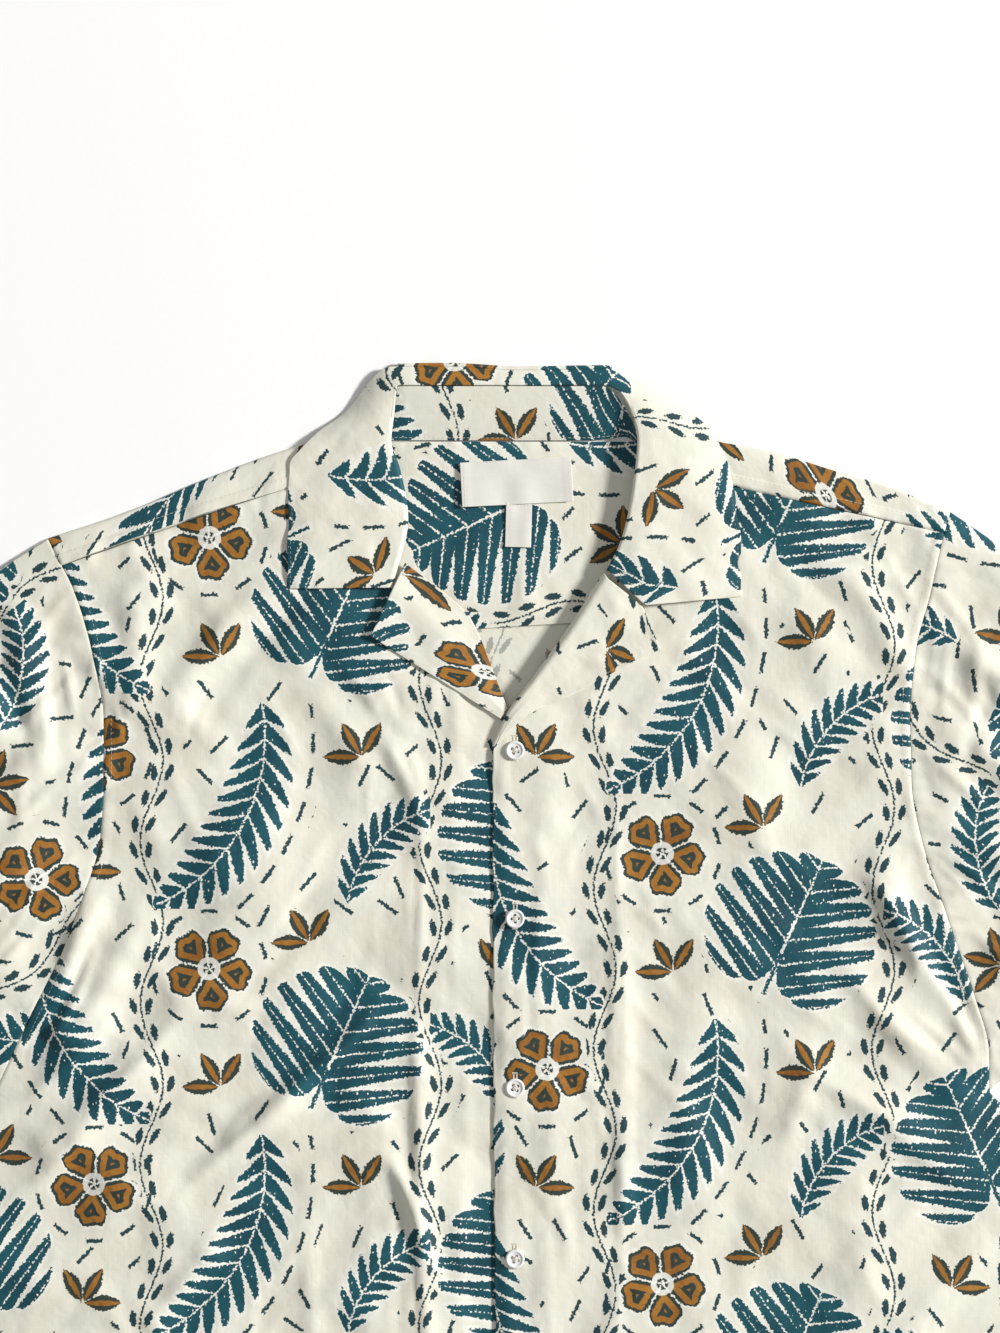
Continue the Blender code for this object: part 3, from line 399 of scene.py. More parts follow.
def seams(x, y):
    """The relief of the armhole and yoke seams and of the hem in the upper layer."""
    relief = 0
    above = step_up(NOTCH_Y - 12, NOTCH_Y + 4, y)
    for side in (-1, 1):
        inset = side * (body_edge(y, side) - x)
        band = 0.26 * step_up(0.2, 1.6, inset) * (1 - step_up(ARM_BAND - 1.0, ARM_BAND + 1.6, inset))
        valley = -0.28 * np.exp(-((inset / 0.9) ** 2))
        ripples = puckers(y, inset, ARM_BAND, 4.5, 0.14) + puckers(y + 40, inset, -4, 6, 0.26)
        relief = relief + above * (band + valley + ripples)
        on_yoke = (np.abs(x) > 50) * (x * side > 0)  # on this side, and not at the neck
        up = (y - yoke_seam(x, side)) * on_yoke
        band = 0.5 * step_up(0.2, 1.4, up) * (1 - step_up(YOKE_BAND - 0.6, YOKE_BAND + 0.9, up))
        valley = -0.5 * np.exp(-((up / 0.9) ** 2))
        relief = relief + on_yoke * (inset > 0) * (band + valley + puckers(x, up, -3, 5, 0.12))
    up = y - HEM_Y
    hem = 0.35 * (1 - step_up(HEM_BAND - 0.8, HEM_BAND + 1, up)) + puckers(x + 0.6 * y, up, 9, 8, 0.12)
    return relief + hem * (up < 60)


def more_lively(x, y):
    """What the crests gain on the crumpled sides. Below the collar they gain nothing."""
    below_collar = step_up(150, 185, y) * (1 - step_up(112, 160, np.abs(x)))
    return (curve(LIVELY, "x", "times", x) - 1) * (1 - below_collar)


ALL_FOLDS = FOLDS + CREASES + fine_creases()


def top_height(x, y):
    """The middle of the upper layer of cloth: fronts, yoke strips and the upper halves of the sleeves."""
    rise = 1 - np.exp(-from_outline(x, y) / ROUND)
    folds = sum(fold_height(fold, x, y) for fold in ALL_FOLDS if near_fold(fold, x, y))
    relief = folds + uneven(x, y)
    crest = (relief + np.sqrt(relief ** 2 + 0.5)) / 2  # close to 0 where the relief sinks
    relief = relief + more_lively(x, y) * crest
    return np.maximum(EDGE_LAYER + rise * (LOFT + relief), LOWEST) + seams(x, y)


def to_the_back(x, y):
    """How far a front's edge comes down to the back at the side seam and the hem."""
    above_notch = step_up(NOTCH_Y - 14, NOTCH_Y, y)
    side_seam = np.minimum(x - body_edge(y, -1), body_edge(y, 1) - x) + 30 * above_notch
    return 1.05 * np.exp(-np.maximum(np.minimum(side_seam, y - HEM_Y), 0) / 1.6)


def front_right_height(x, y):
    """The lower front, which sinks where the other lies on it."""
    low = top_height(x, y) - OVERLAP_DOWN * step_up(-24, -6, x)
    return np.maximum(low, LOWEST_BELOW) - to_the_back(x, y)


def front_left_height(x, y):
    """The upper front, which rises over the other and comes down at its button edge."""
    drop = EDGE_DROP * (1 - step_up(-2.5, 5.5, x)) * (1 - step_up(138, 158, y))
    return top_height(x, y) + OVERLAP_UP * (1 - step_up(26, 44, x)) - drop - to_the_back(x, y)


def lift(plan, height):
    """Adds the height to places in plan."""
    return np.concatenate([plan, height(plan[..., 0], plan[..., 1])[..., None]], -1)


def level(z):
    return lambda x, y: np.full(np.shape(x), float(z))


# ---- shells

def ways(grid):
    """Lengths along the rows of a grid of points, from their first column."""
    steps = np.linalg.norm(np.diff(grid, axis=1), axis=-1)
    return np.concatenate([np.zeros((len(grid), 1)), np.cumsum(steps, 1)], 1)


def unit(vectors):
    return vectors / np.maximum(np.linalg.norm(vectors, axis=-1, keepdims=True), 1e-9)


def grid_normals(grid, ring=False):
    padded = np.concatenate([grid[:, -1:], grid, grid[:, :1]], 1) if ring else grid
    down, sideways = np.gradient(grid, axis=0), np.gradient(padded, axis=1)
    return unit(np.cross(down, sideways[:, 1:-1] if ring else sideways))


def rounded(grid, thick, edges):
    """Thickness that runs out in a half circle at these edges of a grid: low, top, first, last."""
    across, up = ways(grid), ways(grid.swapaxes(0, 1)).T
    inset = np.full(grid.shape[:2], np.inf)
    for edge, distance in (
        ("first", across), ("last", across[:, -1:] - across), ("low", up), ("top", up[-1:] - up),
    ):
        if edge in edges:
            inset = np.minimum(inset, distance)
    share = np.clip(inset / (thick / 2), 0, 1)
    return thick * np.maximum(np.sqrt(1 - (1 - share) ** 2), 0.12)


ALL_EDGES = ("low", "top", "first", "last")
REVERSE = 0.5  # how much weaker the print is on the reverse


def shell(name, grid, cloth, thick, keep=None, ring=False, edges=ALL_EDGES, flip=False):
    """A closed shell of cloth round a grid of points, with each point's place in the printed cloth.

    keep tells the cells that are built. In a ring the last column is joined to the first. The edges named
    are rounded off. flip is for a grid whose columns run the other way, so that its upper side faces up.
    """
    if flip:
        grid, cloth = grid[:, ::-1], cloth[:, ::-1]
        thick = thick[:, ::-1] if np.ndim(thick) else thick
    names = {"first": "last", "last": "first"} if flip else {}
    thick = rounded(grid, thick, [names.get(edge, edge) for edge in edges])[..., None]
    normal = grid_normals(grid, ring)
    rows, columns = grid.shape[:2]
    count = rows * columns
    points = np.concatenate([(grid + side * normal * thick / 2).reshape(-1, 3) for side in (1, -1)])
    ids = np.arange(count).reshape(rows, columns)
    ids = np.concatenate([ids, ids[:, :1]], 1) if ring else ids
    corners = np.stack([ids[:-1, :-1], ids[1:, :-1], ids[1:, 1:], ids[:-1, 1:]], -1)
    keep = np.ones(corners.shape[:2], bool) if keep is None else (keep[:, ::-1] if flip else keep)
    kept = np.pad(keep, 1)
    if ring:
        kept[1:-1, 0], kept[1:-1, -1] = keep[:, -1], keep[:, 0]
    quads = [corners[keep], corners[keep][:, ::-1] + count]
    beside = (kept[1:-1, :-2], kept[2:, 1:-1], kept[1:-1, 2:], kept[:-2, 1:-1])
    for n, neighbour in enumerate(beside):
        border = corners[keep & ~neighbour]
        first, second = border[:, n], border[:, (n + 1) % 4]
        quads.append(np.stack([second, first, first + count, second + count], 1))
    used, place = np.unique(np.concatenate(quads), return_inverse=True)
    mesh = bpy.data.meshes.new(name)
    mesh.from_pydata((points[used] * MM).tolist(), [], place.reshape(-1, 4).tolist())
    printed_at = np.zeros((2 * count, 3))
    printed_at[:, :2] = np.tile(cloth.reshape(-1, 2), (2, 1))
    printed_at[count:, 2] = REVERSE
    attribute = mesh.attributes.new("cloth", "FLOAT_VECTOR", "POINT")
    attribute.data.foreach_set("vector", printed_at[used].ravel())
    mesh.shade_smooth()
    return mesh


def piece(name, mesh, slot, replaced=(), surface=None):
    """A piece of the shirt's one body. Its material is that of its slot, unless another is named."""
    made = bpy.data.objects.new(name, mesh)
    made.data.materials.append(MATERIALS[surface or slot])
    bpy.context.collection.objects.link(made)
    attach(made, "root")
    if replaced:
        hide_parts(*replaced)
    return made


# ---- stitches

STITCH, STITCH_GAP, THREAD = 2.0, 0.6, 0.13  # length, gap and half the thickness of a stitch
FINE_THREAD = 0.09
EDGE_INSET = 1.6  # of the stitches along a finished edge
ONE_EACH = 9.0  # a gap that leaves one stitch to each short line


def inset_line(grid, edge, inset, start, end):
    """A line on a grid at an inset from one of its edges, from one share of it to another.

    Its rows are x y z nx ny nz, with the normal that looks up.
    """
    normal = grid_normals(grid)
    normal = normal * np.where(normal[..., 2:] < 0, -1, 1)
    lines = np.concatenate([grid, normal], -1)
    lines = lines if edge in ("first", "last") else lines.swapaxes(0, 1)
    lines = lines[:, ::-1] if edge in ("last", "top") else lines
    count = len(lines)
    lines = lines[int(start * count):max(int(end * count), 1)]
    way = ways(lines[..., :3])
    return np.array([[np.interp(inset, w, column) for column in line.T] for w, line in zip(way, lines)])


def stitch_form(length, thread):
    """Points and faces of one stitch, along, sideways and up: four rings, of which the end ones dip."""
    points, sides = [], 5
    for share, width, up in ((-0.5, 0.4, -0.7), (-0.3, 1, 0.35), (0.3, 1, 0.35), (0.5, 0.4, -0.7)):
        for angle in 2 * math.pi * np.arange(sides) / sides:
            sideways, rise = width * math.cos(angle), up + width * math.sin(angle)
            points.append((share * length, sideways * thread, rise * thread))
    count = len(points)
    faces = [tuple(range(sides)), tuple(range(count - 1, count - 1 - sides, -1))]
    for low in range(0, count - sides, sides):
        for n in range(sides):
            m = (n + 1) % sides
            faces.append((low + m, low + n, low + sides + n, low + sides + m))
    return np.array(points), faces


def stitches(lines, sink=0.0, length=STITCH, gap=STITCH_GAP, thread=THREAD, above=SINGLE / 2):
    """Points and faces of stitches along lines of x y z nx ny nz."""
    form, form_faces = stitch_form(length, thread)
    points = []
    for line in lines:
        way = lengths(line[:, :3])
        at = np.arange(length / 2, way[-1] - length / 2, length + gap)
        here, before, after = (
            np.stack([np.interp(at + step, way, column) for column in line.T], -1) for step in (0, -0.3, 0.3)
        )
        forward, normal = unit((after - before)[:, :3]), unit(here[:, 3:])
        base = here[:, :3] + normal * (above - sink)
        axes = np.stack([forward, np.cross(normal, forward), normal], 1)
        points.append((base[:, None] + form @ axes).reshape(-1, 3))
    points = np.concatenate(points)
    starts = range(0, len(points), len(form))
    return points, [tuple(start + n for n in face) for start in starts for face in form_faces]


def edge_stitches(lines, thick):
    """Fine stitches along a pressed edge of this thickness."""
    return stitches(lines, 0.08, thread=FINE_THREAD, above=thick / 2)


def sewn(name, parts, slot="printed_cloth"):
    """One piece of thread from several lots of stitches."""
    points, faces, start = [], [], 0
    for lot, lot_faces in parts:
        points.append(lot)
        faces += [tuple(start + n for n in face) for face in lot_faces]
        start += len(lot)
    mesh = bpy.data.meshes.new(name)
    mesh.from_pydata((np.concatenate(points) * MM).tolist(), [], faces)
    mesh.shade_smooth()
    return piece(name, mesh, slot, surface="thread")


# ---- shader nodes

def operator(operation):
    return lambda first, second: first.calc(operation, second)


class Field:
    """A value over the cloth. It is the output of a shader node, and arithmetic on it adds Math nodes."""

    def __init__(self, tree, socket):
        self.tree, self.socket = tree, socket

    def calc(self, operation, *others, clamp=False):
        return calc(self.tree, operation, self, *others, clamp=clamp)

    __add__ = __radd__ = operator("ADD")
    __mul__ = __rmul__ = operator("MULTIPLY")
    __sub__, __truediv__, __pow__ = operator("SUBTRACT"), operator("DIVIDE"), operator("POWER")

    def __rsub__(self, other):
        return calc(self.tree, "SUBTRACT", other, self)

    def __abs__(self):
        return self.calc("ABSOLUTE")

    def part(self):
        """Its fraction above the whole number below it."""
        return self.calc("FRACT")

    def zigzag(self):
        """1 at the whole numbers and 0 halfway between them."""
        return abs(self.part() * 2 - 1)

    def inside(self, edge=0.0, soft=0.35):
        """1 where it lies below an edge and 0 above, blurred a little."""
        return self.calc("MULTIPLY_ADD", -1 / soft, 0.5 + edge / soft, clamp=True)


def plug(tree, item, socket):
    """Gives a socket a constant, a field or the output of another node."""
    if isinstance(item, (Field, bpy.types.NodeSocket)):
        tree.links.new(getattr(item, "socket", item), socket)
    else:
        socket.default_value = item


def new_node(tree, kind, **inputs):
    made = tree.nodes.new(f"ShaderNode{kind}")
    for name, item in inputs.items():
        plug(tree, item, made.inputs[name])
    return made


def calc(tree, operation, *inputs, clamp=False):
    made = new_node(tree, "Math")
    made.operation, made.use_clamp = operation, clamp
    for item, socket in zip(inputs, made.inputs):
        plug(tree, item, socket)
    return Field(tree, made.outputs[0])


def lowest(first, *others):
    for other in others:
        first = first.calc("MINIMUM", other)
    return first


def highest(first, *others):
    for other in others:
        first = first.calc("MAXIMUM", other)
    return first


def split(tree, vector):
    return [Field(tree, socket) for socket in new_node(tree, "SeparateXYZ", Vector=vector).outputs]


def join(tree, x, y):
    return new_node(tree, "CombineXYZ", X=x, Y=y).outputs[0]


def moved(tree, vector, motif):
    """Places round a motif's own origin: how far along it to the right and up."""
    made = new_node(
        tree, "Mapping", Vector=vector, Location=(motif.x, motif.y, 0),
        Rotation=(0, 0, math.radians(motif.turn)), Scale=(motif.size, motif.size, 1)
    )
    made.vector_type = "TEXTURE"
    return split(tree, made.outputs[0])[:2]


def noise(tree, vector, scale, detail, rough=0.5, stretch=None):
    """Noise from 0 to 1, mostly near a half."""
    if stretch:
        vector = new_node(tree, "Mapping", Vector=vector, Scale=stretch).outputs[0]
    made = new_node(tree, "TexNoise", Vector=vector, Scale=scale, Detail=detail, Roughness=rough)
    made.noise_dimensions = "2D"
    return Field(tree, made.outputs["Fac"])


def blend(tree, share, first, second):
    """A colour between two, each a colour or the output of a node."""
    made = new_node(tree, "Mix", Factor=share)
    made.data_type = "RGBA"
    for item, socket in ((first, made.inputs[6]), (second, made.inputs[7])):
        plug(tree, (*item, 1) if isinstance(item, tuple) else item, socket)
    return made.outputs[2]


# ---- the print

GROUND, GROUND_WARM, HALO = (0.775, 0.765, 0.66), (0.755, 0.715, 0.595), (0.86, 0.86, 0.80)
TEAL, TEAL_DEEP = (0.005, 0.082, 0.108), (0.003, 0.052, 0.074)
# SHADOW is the grey of a painted shadow, a leaf that seems to show through the thin cloth from the layer
# below
INK, OUTLINE, SHADOW = (0.012, 0.05, 0.062), (0.026, 0.042, 0.034), (0.66, 0.665, 0.60)
OCHRE, OCHRE_DEEP = (0.39, 0.172, 0.024), (0.27, 0.105, 0.014)

CELL_WIDTH, CELL_HEIGHT = 150.0, 232.0  # of the print's repeat, whose columns are a half drop and mirrored
Motif = namedtuple("Motif", "x y turn size")  # its place from the middle of the repeat
LEAF, FLOWER, SPRIG = Motif(-20, 30, 24, 0.98), Motif(44, 84, 12, 1), Motif(38, 20, -30, 0.95)
# SHOWN_THROUGH places that painted shadow of a leaf from the layer below
PLUME, FROND, SHOWN_THROUGH = Motif(112, -24, 168, 1), Motif(-92, -122, 8, 1), Motif(52, -74, 200, 1.04)
Feather = namedtuple("Feather", "bend length width pitch")  # its rib's radius, its size, its leaflets' pitch
PLUME_FORM, FROND_FORM = Feather(98, 136, 19, 10.5), Feather(62, 80, 13, 8)
Copy = namedtuple("Copy", "y shift_x shift_y")  # below or above this y the sprig comes again, so far off
SPRIG_BELOW, SPRIG_ABOVE = Copy(-8, 76, 54), Copy(72, 48, -78)
PETALS, PETAL_LENGTH = 5, 23
DASHES_ROUND, FREE_ROUND = 31, 29  # radii round the flower: of its dashes, and where no others are strewn
VINE_WAVE, VINE_SWAY, DROP_PITCH = 87, 6, 14
PLUME_DASHES, DASH_PITCH = 26, 15  # how far from the rib they lie, and from each other
STREWN_PITCH = 25


def radius_at(u, v):
    return (u * u + v * v).calc("SQRT")


def broad_leaf(place):
    """A broad cut leaf, 100 mm across, with a light midrib and veins. Below 0 is inside, in about mm."""
    u, v = place
    aside = abs(u)
    turn = abs(u.calc("ARCTAN2", v))
    finger = ((v - aside * 0.58) * (1 / 14.5)).zigzag()  # 0 along a vein, 1 along a cut
    tips = 1.02 - finger * finger * finger * 0.13
    outline = (turn * 0.5).calc("COSINE").calc("MAXIMUM", 0) ** 0.6 * 56 * tips
    cut = (aside - 9) * 0.1 + (finger - 1) * 6.2
    vein = 0.42 - aside * 0.009 - finger * 6.2
    rib = 0.75 - v * 0.008 - aside
    body = highest(radius_at(u, v) - outline, cut, vein, rib)
    stalk = highest(aside - 1.0, v, -24.0 - v)
    return lowest(body, stalk)


def feather(place, bend, length, width, pitch):
    """A curved feather of a leaf, whose rib is an arc with its middle at the motif's origin.

    It comes with the way along the rib and the distance outside it.
    """
    u, v = place
    radius = radius_at(u, v)
    way = v.calc("ARCTAN2", u) * bend
    aside = abs(radius - bend)
    share = (way / length).calc("MAXIMUM", 0).calc("MINIMUM", 1)
    reach = (share * (1 - share) * 4) ** 0.62 * width
    leaflet = ((way - aside * 0.8) * (1 / pitch)).zigzag()
    filled = (aside / reach.calc("MAXIMUM", 0.01)) ** 2
    blades = (leaflet + filled * 0.62 - 0.89) * (pitch * 0.45)
    return highest(blades, aside - reach, 0.42 - aside), way, radius - bend


def flower(place):
    """Ruffled petals: how far outside them a place is, how near the middle of a petal, and the radius."""
    u, v = place
    radius = radius_at(u, v)
    turn = v.calc("ARCTAN2", u) * (PETALS / (2 * math.pi))
    petal = turn.zigzag()
    ruffles = (turn * (2 * math.pi * 3)).calc("SINE") * 0.7
    outline = (1.0 - petal * petal * petal * 0.4) * PETAL_LENGTH + ruffles
    gap = 0.45 - (1 - petal) * radius * 0.6
    return highest(radius - outline, gap), petal * radius * 0.6, radius


def sprig(place):
    """Three pointed leaves on a short stalk: outside them, and outside the stripe in each."""
    u, v = place
    between = 1.05  # radians from one leaf to the next
    radius = radius_at(u, v)
    turn = u.calc("ARCTAN2", v) * (1 / between) + 0.5
    side = (turn.part() - 0.5) * between
    aside = abs(side.calc("SINE") * radius)
    way = (side.calc("COSINE") * radius - 11.5) * (1 / 10.5)
    lens = 1 - way * way
    leaf = highest(aside - lens * 4.4, (abs(turn - 0.5) - 1.5) * 20)
    return leaf, aside - lens * 1.5


def scattered(tree, position):
    """Short dashes strewn over the ground, each leaning one way or the other."""
    cells = new_node(tree, "TexVoronoi", Vector=position, Scale=1 / STREWN_PITCH, Randomness=0.7)
    cells.voronoi_dimensions = "2D"
    apart = new_node(tree, "VectorMath")
    apart.operation = "SUBTRACT"
    for item, socket in zip((position, cells.outputs["Position"]), apart.inputs):
        plug(tree, item, socket)
    x, y, _ = split(tree, apart.outputs[0])
    which, slight, _ = split(tree, cells.outputs["Color"])
    angle = which.calc("GREATER_THAN", 0.5) * 1.9 - 0.95 + (slight - 0.5) * 0.7
    sine, cosine = angle.calc("SINE"), angle.calc("COSINE")
    return highest(abs(x * cosine + y * sine) - 6.2, abs(y * cosine - x * sine) - 1.0)


def printed(tree, position):
    """The colour of the printed cloth at a place in its own plane, with a painted shadow where a leaf seems
    to show through from the layer below.
    """
    s, t, reverse = split(tree, position)
    wobble = noise(tree, position, 0.42, 2.0, 0.6) - 0.5
    teeth = noise(tree, position, 0.8, 0.0) - 0.5
    wide = noise(tree, position, 0.035, 1.0)
    columns = s * (1 / CELL_WIDTH)
    column = columns.calc("FLOOR")
    odd = (column * 0.5).part() * 2
    x = (s - (column + 0.5) * CELL_WIDTH) * (1 - odd * 2) + wobble * 1.6
    up = t + odd * (CELL_HEIGHT / 2)
    y = (up * (1 / CELL_HEIGHT)).part() * CELL_HEIGHT - CELL_HEIGHT / 2 + wobble * 1.2
    cell = join(tree, x, y)

    leaf = broad_leaf(moved(tree, cell, LEAF))
    plume, way, aside = feather(moved(tree, cell, PLUME), *PLUME_FORM)
    frond, _, _ = feather(moved(tree, cell, FROND), *FROND_FORM)
    flecks = (noise(tree, position, 0.7, 0.0, stretch=(1.0, 0.55, 1)) - 0.86) * 12
    teal = highest(lowest(leaf, plume, frond) + teeth * 1.7, flecks)

    petals, petal_vein, radius = flower(moved(tree, cell, FLOWER))
    low, high = y.calc("LESS_THAN", SPRIG_BELOW.y), y.calc("GREATER_THAN", SPRIG_ABOVE.y)
    copied_x = x + low * SPRIG_BELOW.shift_x + high * SPRIG_ABOVE.shift_x
    copied_y = y + low * SPRIG_BELOW.shift_y + high * SPRIG_ABOVE.shift_y
    leaflets, stripe = sprig(moved(tree, join(tree, copied_x, copied_y), SPRIG))

    # A winding vine between the columns, with pairs of drops, which passes behind the leaves.
    sway = (t * (2 * math.pi / VINE_WAVE)).calc("SINE") * VINE_SWAY
    beside = abs(((columns + 0.5).part() - 0.5) * CELL_WIDTH - sway + wobble)
    drop_way = ((t * (1 / DROP_PITCH)).part() - 0.5) * DROP_PITCH - beside * 0.9 + 3
    drop = ((beside - 4.2) * (1 / 2.1)) ** 2 + (drop_way * (1 / 4.0)) ** 2 - 1
    vine = highest(lowest(drop * 1.2, beside - 0.5), 3.2 - lowest(teal, petals))

    # Dashes round the flower, beside the plume and over the free ground.
    spoke = (y - FLOWER.y).calc("ARCTAN2", x - FLOWER.x) * (2 * PETALS / (2 * math.pi))
    ring = highest(abs(radius - DASHES_ROUND) - 1.0, abs(spoke.part() - 0.5) * 19 - 4.4)
    row = (way * (1 / DASH_PITCH)).part() - 0.5
    from_arc = abs(aside - PLUME_DASHES)
    arc = highest(from_arc - 1.0, abs(row) * DASH_PITCH - 4.4, abs(way - 60) - 54)
    beside_plume = highest(from_arc - 1.5, abs(way - 60) - 56)
    free = lowest(teal, leaflets, beside - 6, radius - FREE_ROUND, beside_plume)
    strewn = highest(scattered(tree, position) + wobble * 1.2, 5.5 - free)
    dashes = highest(lowest(ring, arc, strewn), 2.5 - teal)
    ink = lowest(vine, dashes) + teeth * 1.5
    outlines = lowest(leaflets, petals) + teeth * 1.5
    in_flower = highest(petals + 1.9, 4.8 - radius)
    heart = highest(petals + 6.4, 9.6 - radius)
    ochre = lowest(highest(in_flower, 1.2 - abs(heart)), highest(stripe, leaflets))
    eye = highest(radius - 6.2, 3.2 - radius)

    faded = reverse * -1 + 1
    # Painted shadow: a faint grey leaf, as if one in the layer below showed through the thin cloth, fainter
    # on the reverse
    below = broad_leaf(moved(tree, cell, SHOWN_THROUGH))
    deep = blend(tree, (wide * 2 + wobble * 1.5 - 0.6).calc("MINIMUM", 1, clamp=True), TEAL, TEAL_DEEP)
    rust = blend(tree, (wide * 2 - wobble * 1.5 - 0.5).calc("MINIMUM", 1, clamp=True), OCHRE, OCHRE_DEEP)
    color = blend(tree, (wide - 0.35) * 1.4, GROUND, GROUND_WARM)
    for share, over in (
        (below.inside(0, 5) * faded * 0.3, SHADOW),
        (lowest(teal, petals).inside(1.7, 1.6) * 0.7, HALO),
        (ink.inside() * faded, INK),
        (outlines.inside() * faded, OUTLINE),
        (teal.inside() * faded, deep),
        (ochre.inside() * faded, rust),
        (highest(heart + 1.2, 0.5 - petal_vein).inside() * faded, deep),
        (eye.inside() * faded * 0.8, HALO),
    ):
        color = blend(tree, share, color, over)
    return color


# ---- materials

def material(name, roughness, sheen=0.0, coat=0.0):
    made = bpy.data.materials.new(name)
    made.use_nodes = True
    tree = made.node_tree
    shader = tree.nodes["Principled BSDF"]
    values = {
        "Roughness": roughness, "Sheen Weight": sheen, "Sheen Roughness": 0.4, "Coat Weight": coat,
        "Coat Roughness": 0.08, "Specular IOR Level": 0.35,
    }
    for socket, value in values.items():
        shader.inputs[socket].default_value = value
    return made, tree, shader


def bump(tree, shader, height, strength, distance):
    made = new_node(tree, "Bump", Height=height, Strength=strength, Distance=distance)
    tree.links.new(made.outputs["Normal"], shader.inputs["Normal"])


def cloth_place(tree):
    """The place in the printed cloth in mm, and how far the print is faded there."""
    made = new_node(tree, "Attribute")
    made.attribute_name = "cloth"
    return made.outputs["Vector"]


def object_place(tree):
    """The place on an object in mm."""
    place = new_node(tree, "TexCoord").outputs["Object"]
    return new_node(tree, "Mapping", Vector=place, Scale=(1 / MM, 1 / MM, 1 / MM)).outputs[0]


def weave(tree, place, pitch):
    """Crossing threads of uneven thickness, as a height for a bump."""
    s, t, _ = split(tree, place)
    over = (s * (math.pi / pitch)).calc("SINE") * (t * (math.pi / pitch)).calc("SINE")
    slubs = [noise(tree, place, 1.0, 1.0, stretch=stretch) for stretch in ((1.4, 0.05, 1), (0.05, 1.4, 1))]
    return over * 0.35 + slubs[0] + slubs[1]


def printed_cloth():
    made, tree, shader = material("printed_cloth", 0.66, sheen=0.08)
    place = cloth_place(tree)
    plug(tree, printed(tree, place), shader.inputs["Base Color"])
    large, small = noise(tree, place, 0.055, 2.0, 0.6), noise(tree, place, 0.12, 1.0)
    crumples = abs(large - 0.5) + abs(small - 0.5) * 0.5
    bump(tree, shader, crumples * 14 + weave(tree, place, 0.42), 0.35, 0.0001)
    return made


def satin():
    made, tree, shader = material("label_white", 0.42, sheen=0.1)
    place = cloth_place(tree)
    shade = noise(tree, place, 0.25, 2.0) * 0.5 + noise(tree, place, 1.0, 1.0, stretch=(0.1, 3.0, 1)) * 0.5
    plug(tree, blend(tree, shade, (0.83, 0.815, 0.755), (0.74, 0.725, 0.665)), shader.inputs["Base Color"])
    bump(tree, shader, weave(tree, place, 0.3), 0.3, 0.00008)
    return made


def pearl():
    """Pale shell-like plastic with soft clouds and a clear polish."""
    made, tree, shader = material("button_pearl", 0.28, coat=0.6)
    clouds = noise(tree, object_place(tree), 0.32, 3.0)
    color = blend(tree, (clouds - 0.3) * 2, (0.89, 0.89, 0.875), (0.78, 0.785, 0.785))
    plug(tree, color, shader.inputs["Base Color"])
    bump(tree, shader, clouds, 0.1, 0.0002)
    return made


def cotton():
    """Sewing thread with a fine uneven grain."""
    made, tree, shader = material("thread", 0.55, sheen=0.2)
    fibres = noise(tree, object_place(tree), 6.0, 1.0)
    plug(tree, blend(tree, fibres, (0.80, 0.75, 0.63), (0.66, 0.60, 0.49)), shader.inputs["Base Color"])
    bump(tree, shader, fibres, 0.5, 0.0001)
    return made


def paper():
    made, tree, shader = material("floor", 0.9)
    grain = noise(tree, object_place(tree), 0.4, 3.0)
    plug(tree, blend(tree, grain, (0.985, 0.985, 0.98), (0.965, 0.965, 0.96)), shader.inputs["Base Color"])
    return made


# ---- pieces

PRINT_PLACE = {  # where each piece was cut from the printed cloth, so that no motif runs on across a seam
    "back": (0, 0), "front_right": (36, 40), "front_left": (92, -22), "yoke": (20, 14),
    "inner_yoke": (64, 150), "facing_right": (150, 60), "facing_left": (36, 96), "collar": (30, 70),
    "collar_stand": (118, 20), "sleeve_right": (50, 96), "sleeve_left": (14, 30),
}
# Rounded lengths of the pieces, which only say how many rows and columns their meshes have
FRONT_ACROSS, BACK_ACROSS, SHOULDER_ACROSS, STRIP_UP, SLEEVE_ALONG = 272, 560, 185, 32, 225
LAPEL_LEFT_ALONG, LAPEL_LEFT_OUT, LAPEL_RIGHT_ALONG, LAPEL_RIGHT_OUT = 112, 42, 92, 38
INNER_YOKE_UP, COLLAR_OUT, STAND_UP = 100, 52, 29


def cut_from(name, s, t):
    return np.stack([s + PRINT_PLACE[name][0], t + PRINT_PLACE[name][1]], -1)


def strip_place(name, grid):
    """The place in the cloth of a strip that was cut along its length."""
    lengthwise = lengths(grid[:, grid.shape[1] // 3])
    return cut_from(name, np.broadcast_to(lengthwise[:, None], grid.shape[:2]), ways(grid))


def front(side, edge, seam, height, wavy):
    """A front from its button edge to its side seam and armhole, up to the yoke seam."""
    seam_x, seam_y = [p.x for p in seam], [p.y for p in seam]
    end_y = (seam_y[0] if side < 0 else seam_y[-1]) - SEAM_GAP
    outer_y = mix(HEM_Y, end_y, shares(end_y - HEM_Y))
    slant = np.maximum(outer_y - ROWS_SLANT_FROM, 0) / (end_y - ROWS_SLANT_FROM)
    inner_y = np.where(outer_y < ROWS_SLANT_FROM, outer_y, mix(ROWS_SLANT_FROM, edge[-1].y, slant))
    waves = np.sin(inner_y / 6.1) + 0.8 * np.sin(inner_y / 2.7 + np.sin(inner_y / 11))
    inner_x = curve(edge, "y", "x", inner_y) + wavy * step_up(165, 140, inner_y) * waves
    inner = np.stack([inner_x, inner_y], -1)
    outer = np.stack([body_edge(outer_y, side) - side * SEAM_GAP, outer_y], -1)
    ends = (outer, inner) if side < 0 else (inner, outer)
    plan = mix(ends[0][:, None], ends[1][:, None], shares(FRONT_ACROSS)[None, :, None])
    to_the_seam = smooth(seam_x, seam_y, plan[-1, :, 0]) - SEAM_GAP - plan[-1, :, 1]
    plan[..., 1] += slant[:, None] ** 3 * to_the_seam
    return lift(plan, height)


